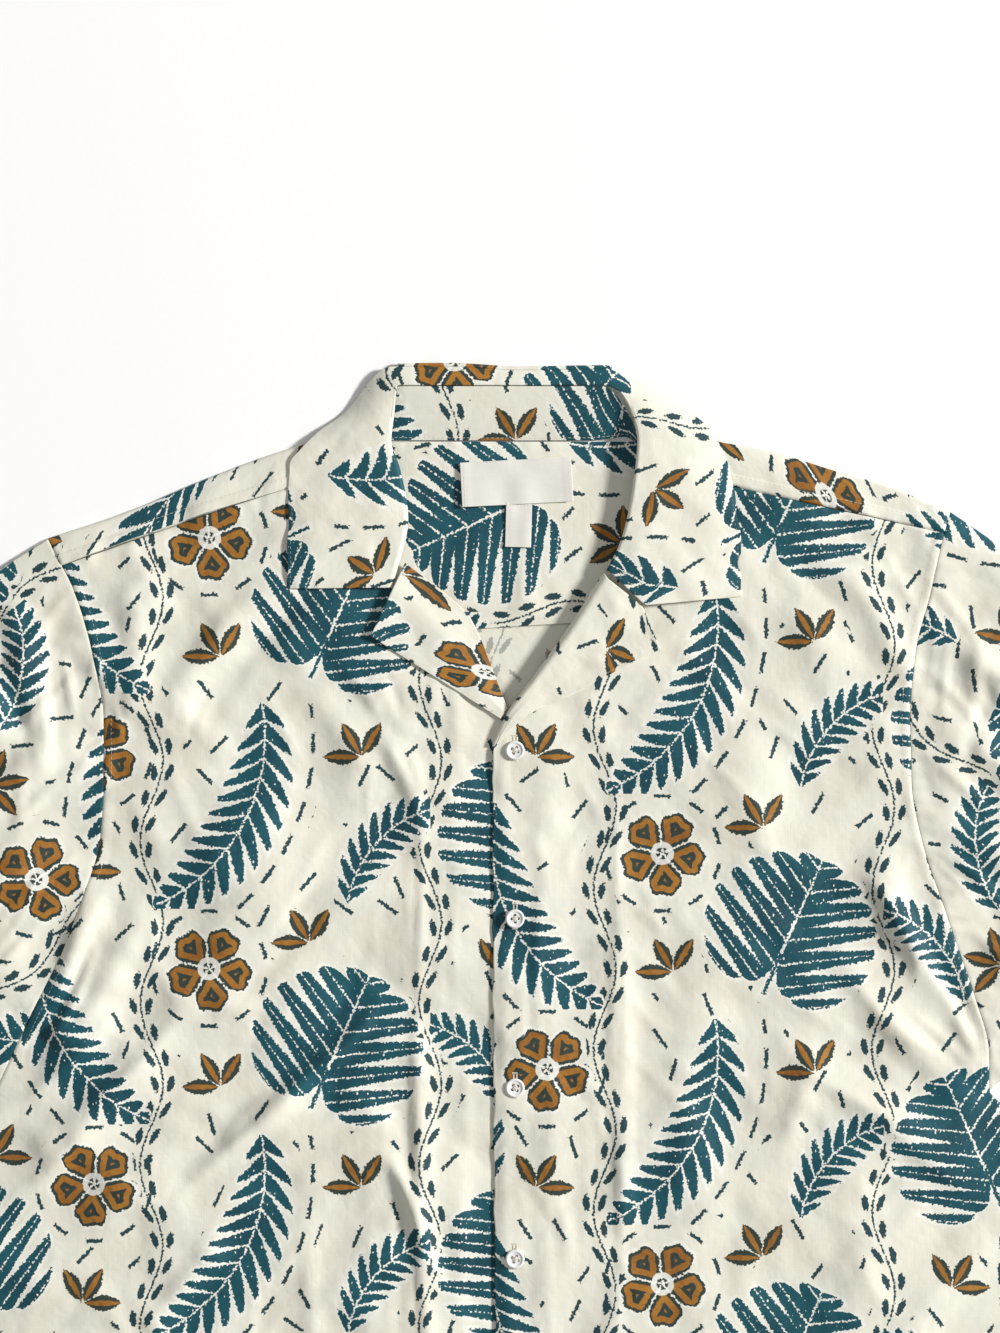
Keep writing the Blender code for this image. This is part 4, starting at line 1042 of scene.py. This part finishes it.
def faced(grid, side):
    """The thickness of a front: two layers as far as its facing reaches, and one beyond."""
    way = ways(grid)
    inset = way if side > 0 else way[:, -1:] - way
    return mix(DOUBLE, SINGLE, step_up(*FACING_ENDS, inset))


def back_height(x, y):
    """Flat on the floor, with a little more height along its yoke seam."""
    allowance = 1 - step_up(12, 20, np.abs(y - BACK_SEAM_Y + 12))
    return LAID + 0.25 * allowance


def back():
    y = mix(HEM_Y, BACK_SEAM_Y - SEAM_GAP, shares(BACK_SEAM_Y - HEM_Y, BACK_STEP))
    ends = [np.stack([body_edge(y, side) - side * SEAM_GAP, y], -1) for side in (-1, 1)]
    plan = mix(ends[0][:, None], ends[1][:, None], shares(BACK_ACROSS, BACK_STEP)[None, :, None])
    return lift(plan, back_height)


def yoke():
    """Rows from the back seam up, round the shoulder fold and down to the front seam. Columns go across.

    It comes with the cells that are built, its place in the cloth and its number of columns on a shoulder.
    """
    def share(points):
        low, high = (body_edge([p.y for p in points], side) for side in (-1, 1))
        return (np.array([p.x for p in points]) - low) / (high - low)

    sides = []
    for fold, seam in ((SHOULDER_NEG, YOKE_SEAM_NEG), (SHOULDER_POS, YOKE_SEAM_POS)):
        ends, seam_ends = share(fold), share(seam)
        first, last = (0, ends[-1]) if fold is SHOULDER_NEG else (ends[0], 1)
        u = mix(first, last, shares(SHOULDER_ACROSS))
        fold_y = smooth(ends, [p.y for p in fold], np.clip(u, ends[0], ends[-1]))
        seam_y = smooth(seam_ends, [p.y for p in seam], np.clip(u, seam_ends[0], seam_ends[-1]))
        sides.append((u, fold_y, seam_y))
    neck_u = share([Point(x, NECK_Y) for x in np.linspace(NECK_NEG, NECK_POS, NECK_COLUMNS)])
    neck = (neck_u, np.full(NECK_COLUMNS, float(NECK_Y)), np.full(NECK_COLUMNS, NECK_Y - 10.0))
    u, fold_y, seam_y = (np.concatenate(parts) for parts in zip(sides[0], neck, sides[1]))
    rows = [(mix(BACK_SEAM_Y + SEAM_GAP, fold_y - TURN, part), LAID) for part in np.linspace(0, 0.97, 14)]
    back_rows = len(rows)
    for angle in np.radians(np.linspace(-90, 70, 9)):
        rows.append((fold_y - TURN + TURN * math.cos(angle), LAID + TURN + TURN * math.sin(angle)))
    for part in shares(STRIP_UP, 1.4):
        if part > 0.015:
            rows.append((mix(fold_y - TURN, seam_y + SEAM_GAP, part), None))
    grid = np.zeros((len(rows), len(u), 3))
    for row, (y, z) in zip(grid, rows):
        row[:, 0] = mix(body_edge(y, -1) + SEAM_GAP, body_edge(y, 1) - SEAM_GAP, u)
        row[:, 1] = y
        row[:, 2] = top_height(row[:, 0], y) if z is None else z
    keep = np.ones((len(rows) - 1, len(u) - 1), bool)
    shoulder = len(sides[0][0])
    keep[back_rows:, shoulder - 1:shoulder + NECK_COLUMNS] = False
    over = ways(grid.swapaxes(0, 1)).T
    return grid, keep, cut_from("yoke", over, grid[..., 0] * 1.05), shoulder


def inner_yoke_low(x):
    return INNER_YOKE_LOW + INNER_YOKE_TILT * x


def inner_yoke_height(x, y):
    """Flat under the label and the fronts, with creases that fan out below the label."""
    turn = np.arctan2(x - FAN_X, FAN_Y - y)
    fan = 0.6 * (1 + np.cos(7 * turn + 0.9 * np.sin(2 * turn))) + 0.25 * np.sin(17 * turn + 1)
    above = step_up(0, 11, y - inner_yoke_low(x))
    creases = fan * (1 - step_up(246, 270, y)) * above * (1 - step_up(22, 40, np.abs(x - FAN_X)))
    neck = puckers(x, NECK_Y - y, 2, 4, 0.12) - 0.5 * np.exp(-(((NECK_Y - y) / 1.1) ** 2))
    return LINING_LAYER + 0.2 + creases + 0.35 * uneven(x, y) + neck


def inner_yoke():
    across = mix(*INNER_YOKE_X, shares(INNER_YOKE_X[1] - INNER_YOKE_X[0], 1.8))
    x, share = np.meshgrid(across, shares(INNER_YOKE_UP, 1.8))
    return lift(np.stack([x, mix(inner_yoke_low(x), INNER_YOKE_TOP, share)], -1), inner_yoke_height)


def sleeve(side, top, low, name):
    """A flattened tube between the armhole and the cuff, open at both.

    It comes with its place in the cloth and its upper half.
    """
    u = shares(SLEEVE_ALONG)
    arm_y = mix(NOTCH_Y, top[0].y, shares(top[0].y - NOTCH_Y))
    v = (arm_y - arm_y[0]) / (arm_y[-1] - arm_y[0])
    arm = np.stack([body_edge(arm_y, side) + side * SEAM_GAP, arm_y], -1)
    top_edge, low_edge = along(top, u), along(low, u)
    for edge, corner in ((top_edge, arm[-1]), (low_edge, arm[0])):
        edge += (corner - edge[0]) * (1 - u)[:, None]
    cuff = mix(np.array(low[-1])[None], np.array(top[-1])[None], v[:, None])
    plan = patch(arm, cuff, low_edge, top_edge, u, v)
    out = plan[:, -1] - plan[:, 0]
    out /= np.linalg.norm(out, axis=-1, keepdims=True)
    plan[:, 0] += out * (SINGLE / 2 + TURN)
    plan[:, -1] -= out * (SINGLE / 2 + TURN)
    folds = []
    for end, toward, angles in ((plan[:, -1], out, SLEEVE_TURN), (plan[:, 0], -out, SLEEVE_TURN[::-1])):
        turned_over = []
        for angle in np.radians(angles):
            place = end + toward * TURN * math.cos(angle)
            turned_over.append(lift(place, level(LAID + TURN * (1 + math.sin(angle)))))
        folds.append(np.stack(turned_over, 1))
    upper = lift(plan[:, ::-1], top_height)
    cuff_inset = ways(upper.swapaxes(0, 1)).T
    cuff_inset = cuff_inset[-1:] - cuff_inset
    upper[..., 2] += 0.35 * (1 - step_up(CUFF_BAND - 0.8, CUFF_BAND + 1, cuff_inset))
    upper[..., 2] += puckers(ways(upper), cuff_inset, CUFF_BAND / 2, 8, 0.12)
    ring = np.concatenate([lift(plan, level(LAID)), folds[0], upper, folds[1]], 1)
    slope = math.atan2(top[-1].y - top[0].y, top[-1].x - top[0].x)
    x, y = ring[..., 0], ring[..., 1]
    lengthwise = x * math.cos(slope) + y * math.sin(slope)
    crosswise = y * math.cos(slope) - x * math.sin(slope)
    lower = plan.shape[1] + SLEEVE_TURN.index(0) + 1  # columns up to the fold along the top
    top_fold = crosswise[:, lower - 1:lower]
    crosswise[:, :lower] = 2 * top_fold - crosswise[:, :lower]
    return ring, cut_from(name, crosswise, -lengthwise), upper


def facing_left():
    """The lapel that is rolled over: a strip turned under the front, round the roll and out over it.

    It comes with the first of its columns that show.
    """
    rows = along(LAPEL_LEFT, shares(LAPEL_LEFT_ALONG, FINE_STEP))
    roll, out = rows[:, :2], rows[:, 3:5]
    roll_z, out_z, under_z = rows[:, 2], rows[:, 5], rows[:, 6]
    width = np.linalg.norm(out - roll, axis=-1)
    toward = mix(np.array([V_TOWARD]), (out - roll) / width[:, None], step_up(4, 9, width)[:, None])
    turn = (roll_z - under_z) / 2
    parts = shares(LAPEL_LEFT_OUT, 1.4)[3:]
    parts = (parts - parts[0]) / (1 - parts[0])
    section = [(turn + part * LAPEL_UNDER, under_z) for part in (1, 0.7, 0.35, 0)]
    for angle in np.radians(np.linspace(-75, 75, 11)):
        section.append((turn - turn * math.cos(angle), under_z + turn + turn * math.sin(angle)))
    first_out = len(section)
    for part in parts:
        reach = mix(turn, np.maximum(width, turn + 0.4), part)
        section.append((reach, mix(roll_z, out_z, step_up(0, 1, part) * 0.4 + part * 0.6)))
    grid = np.zeros((len(rows), len(section), 3))
    for j, (reach, z) in enumerate(section):
        grid[:, j, :2] = roll + toward * reach[:, None]
        grid[:, j, 2] = z
    shown = grid[:, first_out:]
    bend = np.interp(parts, (0, NOTCH_ON_LAPEL, 1), (0, 1, 0))[None, :, None]
    straight = mix(shown[-1, 0, :2], shown[-1, -1, :2], NOTCH_ON_LAPEL)
    fade = (np.linspace(0, 1, len(rows)) ** 4)[:, None, None]
    shown[..., :2] += fade * bend * (np.array(NOTCH_LEFT) - NOTCH_GAP - straight)
    shown[..., 2] += 0.5 * uneven(shown[..., 0] * 1.7, shown[..., 1] * 1.7) * np.minimum(parts * 4, 1)
    return grid, first_out


def facing_right():
    """The lapel that lies open, from its outer edge to the free edge that rests on the inner yoke."""
    rows = along(LAPEL_RIGHT, shares(LAPEL_RIGHT_ALONG, FINE_STEP))[:, None]
    share = shares(LAPEL_RIGHT_OUT, FINE_STEP)
    plan = mix(rows[..., :2], rows[..., 3:5], share[None, :, None])
    height = mix(rows[..., 2], rows[..., 5], step_up(0.5, 1, share)[None])
    height = height + 0.5 * uneven(plan[..., 0] * 1.6 + 40, plan[..., 1] * 1.6)
    return np.concatenate([plan, height[..., None]], -1)


def banded(stations, share):
    """A strip between the ends of its stations, which swells in between and curls down at the inner one.

    It comes with the station that each row is at, counted from 0.
    """
    table_rows = np.array(stations)
    way = lengths((table_rows[:, :2] + table_rows[:, 3:5]) / 2)
    index = np.interp(shares(way[-1], FINE_STEP) * way[-1], way, np.arange(len(way)))
    rows = smooth(np.arange(len(way)), table_rows, index)
    inner, outer = rows[:, None, :3], rows[:, None, 3:6]
    run = outer - inner
    width = np.linalg.norm(run[..., :2], axis=-1, keepdims=True)
    curl = np.minimum(rows[:, None, 7:8], width * 0.4)
    flat = inner + run * (curl / width + share[None, :, None] * (1 - curl / width))
    flat[..., 2] += rows[:, 6:7] * 4 * share * (1 - share)
    angles = np.radians(np.linspace(90, 12, CURL_COLUMNS))[None, :, None]
    sunk = np.array([0, 0, 1]) * curl * (1 - np.cos(angles))
    down = inner + run / width * curl * (1 - np.sin(angles)) - sunk
    return np.concatenate([down, flat], 1), index


def collar():
    """The collar out to its edge, and whole, with its fall behind the neck.

    They come with the whole one's cells that are built, and with the station of each row.
    """
    share = shares(COLLAR_OUT, 1.4)
    grid, index = banded(COLLAR, share)
    at = np.concatenate([np.zeros(CURL_COLUMNS), share])
    straight = mix(grid[-1, 0, :2], grid[-1, -1, :2], NOTCH_ON_COLLAR)
    bend = np.interp(at, (0, NOTCH_ON_COLLAR, 1), (0, 1, 0))[None, :, None]
    fade = (np.clip(index - (len(COLLAR) - 2), 0, 1) ** 2)[:, None, None]
    grid[..., :2] += fade * bend * (np.array(NOTCH_LEFT) - straight)
    leaf = np.maximum(1 - step_up(3, 4.4, index), step_up(9.6, 10.6, index))[:, None]
    grid[..., 2] += leaf * 0.6 * uneven(grid[..., 0] * 1.5, grid[..., 1] * 1.5) * np.minimum(at * 5, 1)
    outward = grid[:, -1:, :2] - grid[:, :1, :2]
    outward = outward / np.linalg.norm(outward, axis=-1, keepdims=True)
    wavy = 0.4 * np.sin(index * 4.3) + 0.25 * np.sin(index * 9.1 + 1)
    grid[..., :2] += (leaf * wavy[:, None] * at)[..., None] * outward
    turn = (grid[:, -1, 2] - LAID) / 2
    angles, parts = np.radians(np.linspace(75, -75, 8)), np.linspace(0, 1, 7)
    behind = np.zeros((len(grid), len(angles) + len(parts), 3))
    behind[:] = grid[:, -1:]
    for j, angle in enumerate(angles):
        behind[:, j, 1] += turn * math.cos(angle)
        behind[:, j, 2] = LAID + turn * (1 + math.sin(angle))
    for j, part in enumerate(parts, len(angles)):
        behind[:, j, 1] -= part * FALL_BEHIND
        behind[:, j, 2] = LAID
    full = np.concatenate([grid, behind], 1)
    keep = np.ones((full.shape[0] - 1, full.shape[1] - 1), bool)
    middle = (index[:-1] + index[1:]) / 2
    keep[(middle < FALL_FROM) | (middle > FALL_TO), grid.shape[1] - 1:] = False
    return grid, full, keep, index


def tab(size, z):
    """A slightly wavy label: its ends are turned under, and its lower half comes up a little."""
    x, y = shares(size.width, 1.5) - 0.5, shares(size.height, 1.5) - 0.5
    x, y = np.meshgrid(x * size.width, y * size.height)
    turned_under = 0.2 * step_up(size.width / 2 - 5.2, size.width / 2 - 4.6, np.abs(x))
    waves = 0.42 * np.sin(x / 4.6 + 0.6 + 0.8 * np.sin(x / 9)) * np.cos(y / 9 + 0.9)
    raised = 0.6 * (2 * y / size.height) ** 4 * (y < 0)
    tilt = math.radians(size.tilt)
    plan_x = size.x + x * math.cos(tilt) - y * math.sin(tilt)
    plan_y = size.y + x * math.sin(tilt) + y * math.cos(tilt)
    return np.stack([plan_x, plan_y, z + turned_under + waves + raised], -1), np.stack([x, y], -1)


# ---- buttons

HOLE_RADIUS, HOLE_WIDEST, HOLE_PLACE = 0.8, 1.15, 1.25  # of its holes, and how far from its axes they lie
DISH_Z = 1.5  # where the thread lies
Turned = namedtuple("Turned", "r z")
BUTTON = table(Turned,  # half of its section, from the middle of its back round the rim to the dish's middle
    (0, 0), (3.4, 0), (4.4, 0.25), (4.95, 0.75), (5.15, 1.2), (5.05, 1.65), (4.75, 2.0), (4.4, 2.15),
    (4.05, 2.1), (3.75, 1.85), (3.4, 1.6), (2.9, 1.5), (0, 1.45),
)
DRILL = table(Turned,
    (0, -1), (HOLE_RADIUS, -1), (HOLE_RADIUS, 1.3), (HOLE_WIDEST, 1.7), (HOLE_WIDEST, 4), (0, 4),
)


def turned(name, profile, sides, x=0.0, y=0.0):
    """A solid of revolution that is closed at both ends of its profile."""
    points, faces = [(x, y, profile[0].z)], []
    for corner in profile[1:-1]:
        for n in range(sides):
            angle = 2 * math.pi * n / sides
            points.append((x + corner.r * math.cos(angle), y + corner.r * math.sin(angle), corner.z))
    points.append((x, y, profile[-1].z))
    rings, last = len(profile) - 2, len(points) - 1
    for n in range(sides):
        m = (n + 1) % sides
        faces.append((0, 1 + m, 1 + n))
        for ring in range(rings - 1):
            here, above = 1 + ring * sides, 1 + (ring + 1) * sides
            faces.append((here + n, here + m, above + m, above + n))
        top = 1 + (rings - 1) * sides
        faces.append((top + n, top + m, last))
    mesh = bpy.data.meshes.new(name)
    mesh.from_pydata((np.array(points) * MM).tolist(), [], faces)
    made = bpy.data.objects.new(name, mesh)
    bpy.context.collection.objects.link(made)
    return made


def button_mesh():
    """The button with its four holes, round the origin."""
    blank = turned("blank", BUTTON, 64)
    bits = []
    for n in range(4):
        angle = math.pi / 4 + n * math.pi / 2
        spot = [HOLE_PLACE * math.sqrt(2) * f(angle) for f in (math.cos, math.sin)]
        bits.append(turned(f"bit{n}", DRILL, 20, *spot))
        bits[n].hide_render = True
        cut = blank.modifiers.new(f"hole{n}", "BOOLEAN")
        cut.object, cut.solver = bits[n], "EXACT"
    evaluated = blank.evaluated_get(bpy.context.evaluated_depsgraph_get())
    mesh = bpy.data.meshes.new_from_object(evaluated)
    for used in (*bits, blank):
        bpy.data.objects.remove(used)
    mesh.shade_smooth()
    mesh.set_sharp_from_angle(angle=math.radians(40))
    return mesh


def button_thread():
    """Thread that crosses from hole to hole, four strands each way."""
    lines = []
    for n, (dx, dy) in enumerate(((1, 1), (1, -1))):
        for aside in (-0.224, -0.07, 0.084, 0.238):
            middle = aside * np.array((-dy, dx))
            ends = [middle + way * HOLE_PLACE * np.array((dx, dy)) for way in (-1, 1)]
            lines.append(np.array([(*end, DISH_Z + 0.1 * n, 0, 0, 1) for end in ends]))
    across = 2 * HOLE_PLACE * math.sqrt(2) - 0.05
    return stitches(lines, length=across, gap=ONE_EACH, thread=0.16, above=0.12)


HOLE_LENGTH, HOLE_GAP = 14.5, 0.35  # of a buttonhole, and half the width of its slit
BAR, BAR_PITCH = 1.1, 0.42  # length and distance of the stitches round it
HOLE_ABOVE_BUTTON = 1.2  # how far up its middle lies


def buttonhole(x, y, height):
    """Close stitches down both sides of a slit, and across its ends."""
    lines = []
    half, wide = HOLE_LENGTH / 2, HOLE_GAP + BAR
    for side in (-1, 1):
        for at in np.arange(1 - half, half - 1, BAR_PITCH):
            lines.append([(x + side * HOLE_GAP, y + at), (x + side * wide, y + at)])
    for end in (-1, 1):
        for at in np.arange(-wide, wide, BAR_PITCH):
            lines.append([(x + at, y + end * (half - 1)), (x + at, y + end * half)])
    made = []
    for line in np.array(lines):
        z = height(line[:, 0], line[:, 1])
        made.append(np.column_stack([line, z, np.zeros((2, 2)), np.ones(2)]))
    return stitches(made, length=1.0, gap=ONE_EACH, thread=0.24, above=DOUBLE / 2)


# ---- the shirt

def flat_cut(cloth, keep):
    """Width, length and area in metres of a piece's flat cut, from its places in the printed cloth."""
    rising, falling = cloth[1:, 1:] - cloth[:-1, :-1], cloth[1:, :-1] - cloth[:-1, 1:]
    cells = np.abs(rising[..., 0] * falling[..., 1] - rising[..., 1] * falling[..., 0]) / 2 * keep
    width, length = np.ptp(cloth.reshape(-1, 2), axis=0) * MM
    return (width, length), min(cells.sum() * MM * MM, width * length)


def cloth_piece(name, grid, cloth, thick, held, rests_on, sewing=(), keep=None, slot="printed_cloth", **how):
    """A shell in place of its CAD node, and its stitches. It also works out the size and area of its flat
    cut, but uses them no further.
    """
    made = piece(f"{name}_cloth", shell(name, grid, cloth, thick, keep, **how), slot, (name,))
    with_pieces = [sewn(f"{name}_stitches", sewing)] if sewing else []
    flat, area = flat_cut(cloth, True if keep is None else keep)


def build_back_and_yokes():
    grid = back()
    cloth_piece("back", grid, cut_from("back", -grid[..., 0], grid[..., 1]), SINGLE, "laid", ["floor"])
    grid, keep, cloth, shoulder = yoke()
    share = (shoulder - 1) / grid.shape[1]
    strips = ((0.01, share), (1 - share, 0.99))
    sewing = stitches([inset_line(grid[-20:], "top", YOKE_BAND, start, end) for start, end in strips])
    cloth_piece("yoke", grid, cloth, SINGLE, "folded", ["floor", "back_cloth"], [sewing], keep)
    grid = inner_yoke()
    cloth = cut_from("inner_yoke", grid[..., 1], -grid[..., 0])
    cloth_piece("inner_yoke", grid, cloth, SINGLE, "laid", ["yoke_cloth"], flip=True)


def build_front(name, side, edge, seam, height, wavy, below):
    grid = front(side, edge, seam, height, wavy)
    arm_from = (NOTCH_Y + 4 - HEM_Y) / (290 - HEM_Y)  # the share of its rows that lie below the armhole
    armhole = inset_line(grid, "last" if side > 0 else "first", ARM_BAND, arm_from, 0.995)
    hem = inset_line(grid, "low", HEM_BAND, 0.01, 0.99)
    sewing = [stitches([armhole], 0.06, thread=FINE_THREAD), stitches([hem])]
    cloth = cut_from(name, grid[..., 0], grid[..., 1])
    cloth_piece(name, grid, cloth, faced(grid, side), "laid", below, sewing, flip=True)


def build_fronts():
    below = ["back_cloth"]
    build_front("front_right", -1, FRONT_RIGHT_EDGE, YOKE_SEAM_NEG, front_right_height, 0.1, below)
    below = ["back_cloth", "front_right_cloth"]
    build_front("front_left", 1, FRONT_LEFT_EDGE, YOKE_SEAM_POS, front_left_height, 0.3, below)


def build_sleeves():
    for name, side, top, low in (
        ("sleeve_right", -1, SLEEVE_TOP_NEG, SLEEVE_LOW_NEG),
        ("sleeve_left", 1, SLEEVE_TOP_POS, SLEEVE_LOW_POS),
    ):
        ring, cloth, upper = sleeve(side, top, low, name)
        hem = stitches([inset_line(upper, "top", CUFF_BAND, 0.02, 0.98)])
        cloth_piece(
            name, ring, cloth, SINGLE, "folded", ["floor"], [hem], ring=True, edges=("low", "top"),
            flip=side > 0
        )


def build_facings():
    grid, first_out = facing_left()
    line = inset_line(grid[:, first_out:], "last", EDGE_INSET, 0.1, 0.98)
    cloth_piece(
        "facing_left", grid, strip_place("facing_left", grid), LAPEL_THICK, "folded", ["front_left_cloth"],
        [edge_stitches([line], LAPEL_THICK)], flip=True
    )
    grid = facing_right()
    line = inset_line(grid, "first", EDGE_INSET, 0.02, 0.98)
    cloth_piece(
        "facing_right", grid, strip_place("facing_right", grid), LAPEL_THICK, "laid",
        ["front_right_cloth", "inner_yoke_cloth"], [edge_stitches([line], LAPEL_THICK)], flip=True
    )


def build_collar():
    grid, full, keep, index = collar()
    points = ((0.01, np.mean(index < 3.3)), (np.mean(index < 9.8), 0.99))  # its right point and its left one
    lines = [inset_line(grid, "last", EDGE_INSET, start, end) for start, end in points]
    cloth_piece(
        "collar", full, strip_place("collar", full), COLLAR_THICK, "folded",
        ["yoke_cloth", "front_left_cloth", "front_right_cloth"], [edge_stitches(lines, COLLAR_THICK)], keep
    )
    grid, _ = banded(STAND, shares(STAND_UP, FINE_STEP))
    low = inset_line(grid, "first", 1.4, 0.02, 0.98)
    cloth_piece(
        "collar_stand", grid, strip_place("collar_stand", grid), SINGLE, "laid",
        ["inner_yoke_cloth", "yoke_cloth"], [stitches([low])]
    )


def build_label():
    for name, size, above, edges in (
        ("label", LABEL, 1.9, ("first", "last")),
        ("care_tab", CARE_TAB, 1.7, ("top",)),
    ):
        grid, cloth = tab(size, LINING_LAYER + above)
        lines = [inset_line(grid, edge, EDGE_INSET, 0.04, 0.96) for edge in edges]
        sewing = stitches(lines, length=1.4, gap=0.5, thread=0.1, above=LABEL_THICK / 2)
        cloth_piece(
            name, grid, cloth, LABEL_THICK, "laid", ["inner_yoke_cloth"], [sewing], slot="label_white",
            flip=True
        )


def build_buttons():
    mesh = button_mesh()
    thread, faces = button_thread()
    holes = []
    for number, node in enumerate(BUTTON_NODES):
        low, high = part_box(node)
        x, y, z = (low[0] + high[0]) / 2, (low[1] + high[1]) / 2, low[2]
        turn = Matrix.Rotation(math.radians(17 + 31 * number), 4, "Z")
        copy = mesh.copy()
        copy.transform(Matrix.Translation((x, y, z)) @ turn)
        copy.name = f"{node}_pearl"
        piece(copy.name, copy, "button_pearl", (node,))
        placed = thread @ np.array(turn.to_3x3()).T + (x / MM, y / MM, z / MM)
        sewn(f"{node}_thread", [(placed, faces)], "button_pearl")
        holes.append(buttonhole(x / MM, y / MM + HOLE_ABOVE_BUTTON, front_left_height))
    sewn("buttonholes", holes)


# ---- camera and studio, in metres

FRAME_CENTRE, FRAME_WIDTH, CAMERA_HEIGHT = (1.6 * MM, 206.6 * MM), 0.540, 1.8
SENSOR_WIDTH = 24  # mm
FLOOR_HALF, FLOOR_DEPTH = 15, 0.0001


def build_camera():
    camera = bpy.data.cameras.new("camera")
    camera.sensor_fit = "HORIZONTAL"
    camera.sensor_width = SENSOR_WIDTH
    camera.lens = SENSOR_WIDTH * CAMERA_HEIGHT / FRAME_WIDTH
    camera.clip_end = 20
    placed = bpy.data.objects.new("camera", camera)
    placed.location = (*FRAME_CENTRE, CAMERA_HEIGHT)
    bpy.context.collection.objects.link(placed)
    bpy.context.scene.camera = placed


def area_light(name, place, size, watts, color):
    """A round lamp that faces the middle of the picture."""
    light = bpy.data.lights.new(name, "AREA")
    light.shape, light.size, light.energy, light.color = "DISK", size, watts, color
    placed = bpy.data.objects.new(name, light)
    placed.location = place
    aim = Vector((*FRAME_CENTRE, 0)) - Vector(place)
    placed.rotation_euler = aim.to_track_quat("-Z", "Y").to_euler()
    bpy.context.collection.objects.link(placed)


def build_studio():
    area_light("key", place=(8.1, 1.8, 4.7), size=1.6, watts=1255, color=(1.0, 0.99, 0.97))
    area_light("fill", place=(-1.6, 0.9, 2.6), size=2.2, watts=9, color=(0.97, 0.985, 1.0))
    world = bpy.data.worlds.new("studio")
    world.use_nodes = True
    background = world.node_tree.nodes["Background"]
    background.inputs["Color"].default_value = (1.0, 1.0, 1.0, 1)
    background.inputs["Strength"].default_value = 0.27
    bpy.context.scene.world = world
    bpy.context.scene.view_settings.view_transform = "Standard"  # so that the cloth's own colours show
    mesh = bpy.data.meshes.new("floor")
    corners = np.array([(-1, -1, 0), (1, -1, 0), (1, 1, 0), (-1, 1, 0)]) * FLOOR_HALF
    mesh.from_pydata((corners - (0, 0, FLOOR_DEPTH)).tolist(), [], [(0, 1, 2, 3)])
    mesh.materials.append(MATERIALS["floor"])
    floor = bpy.data.objects.new("floor", mesh)
    bpy.context.collection.objects.link(floor)


MATERIALS = {
    "printed_cloth": printed_cloth(), "label_white": satin(), "button_pearl": pearl(), "thread": cotton(),
    "floor": paper(),
}
build_studio()
build_back_and_yokes()
build_fronts()
build_sleeves()
build_facings()
build_collar()
build_label()
build_buttons()
build_camera()
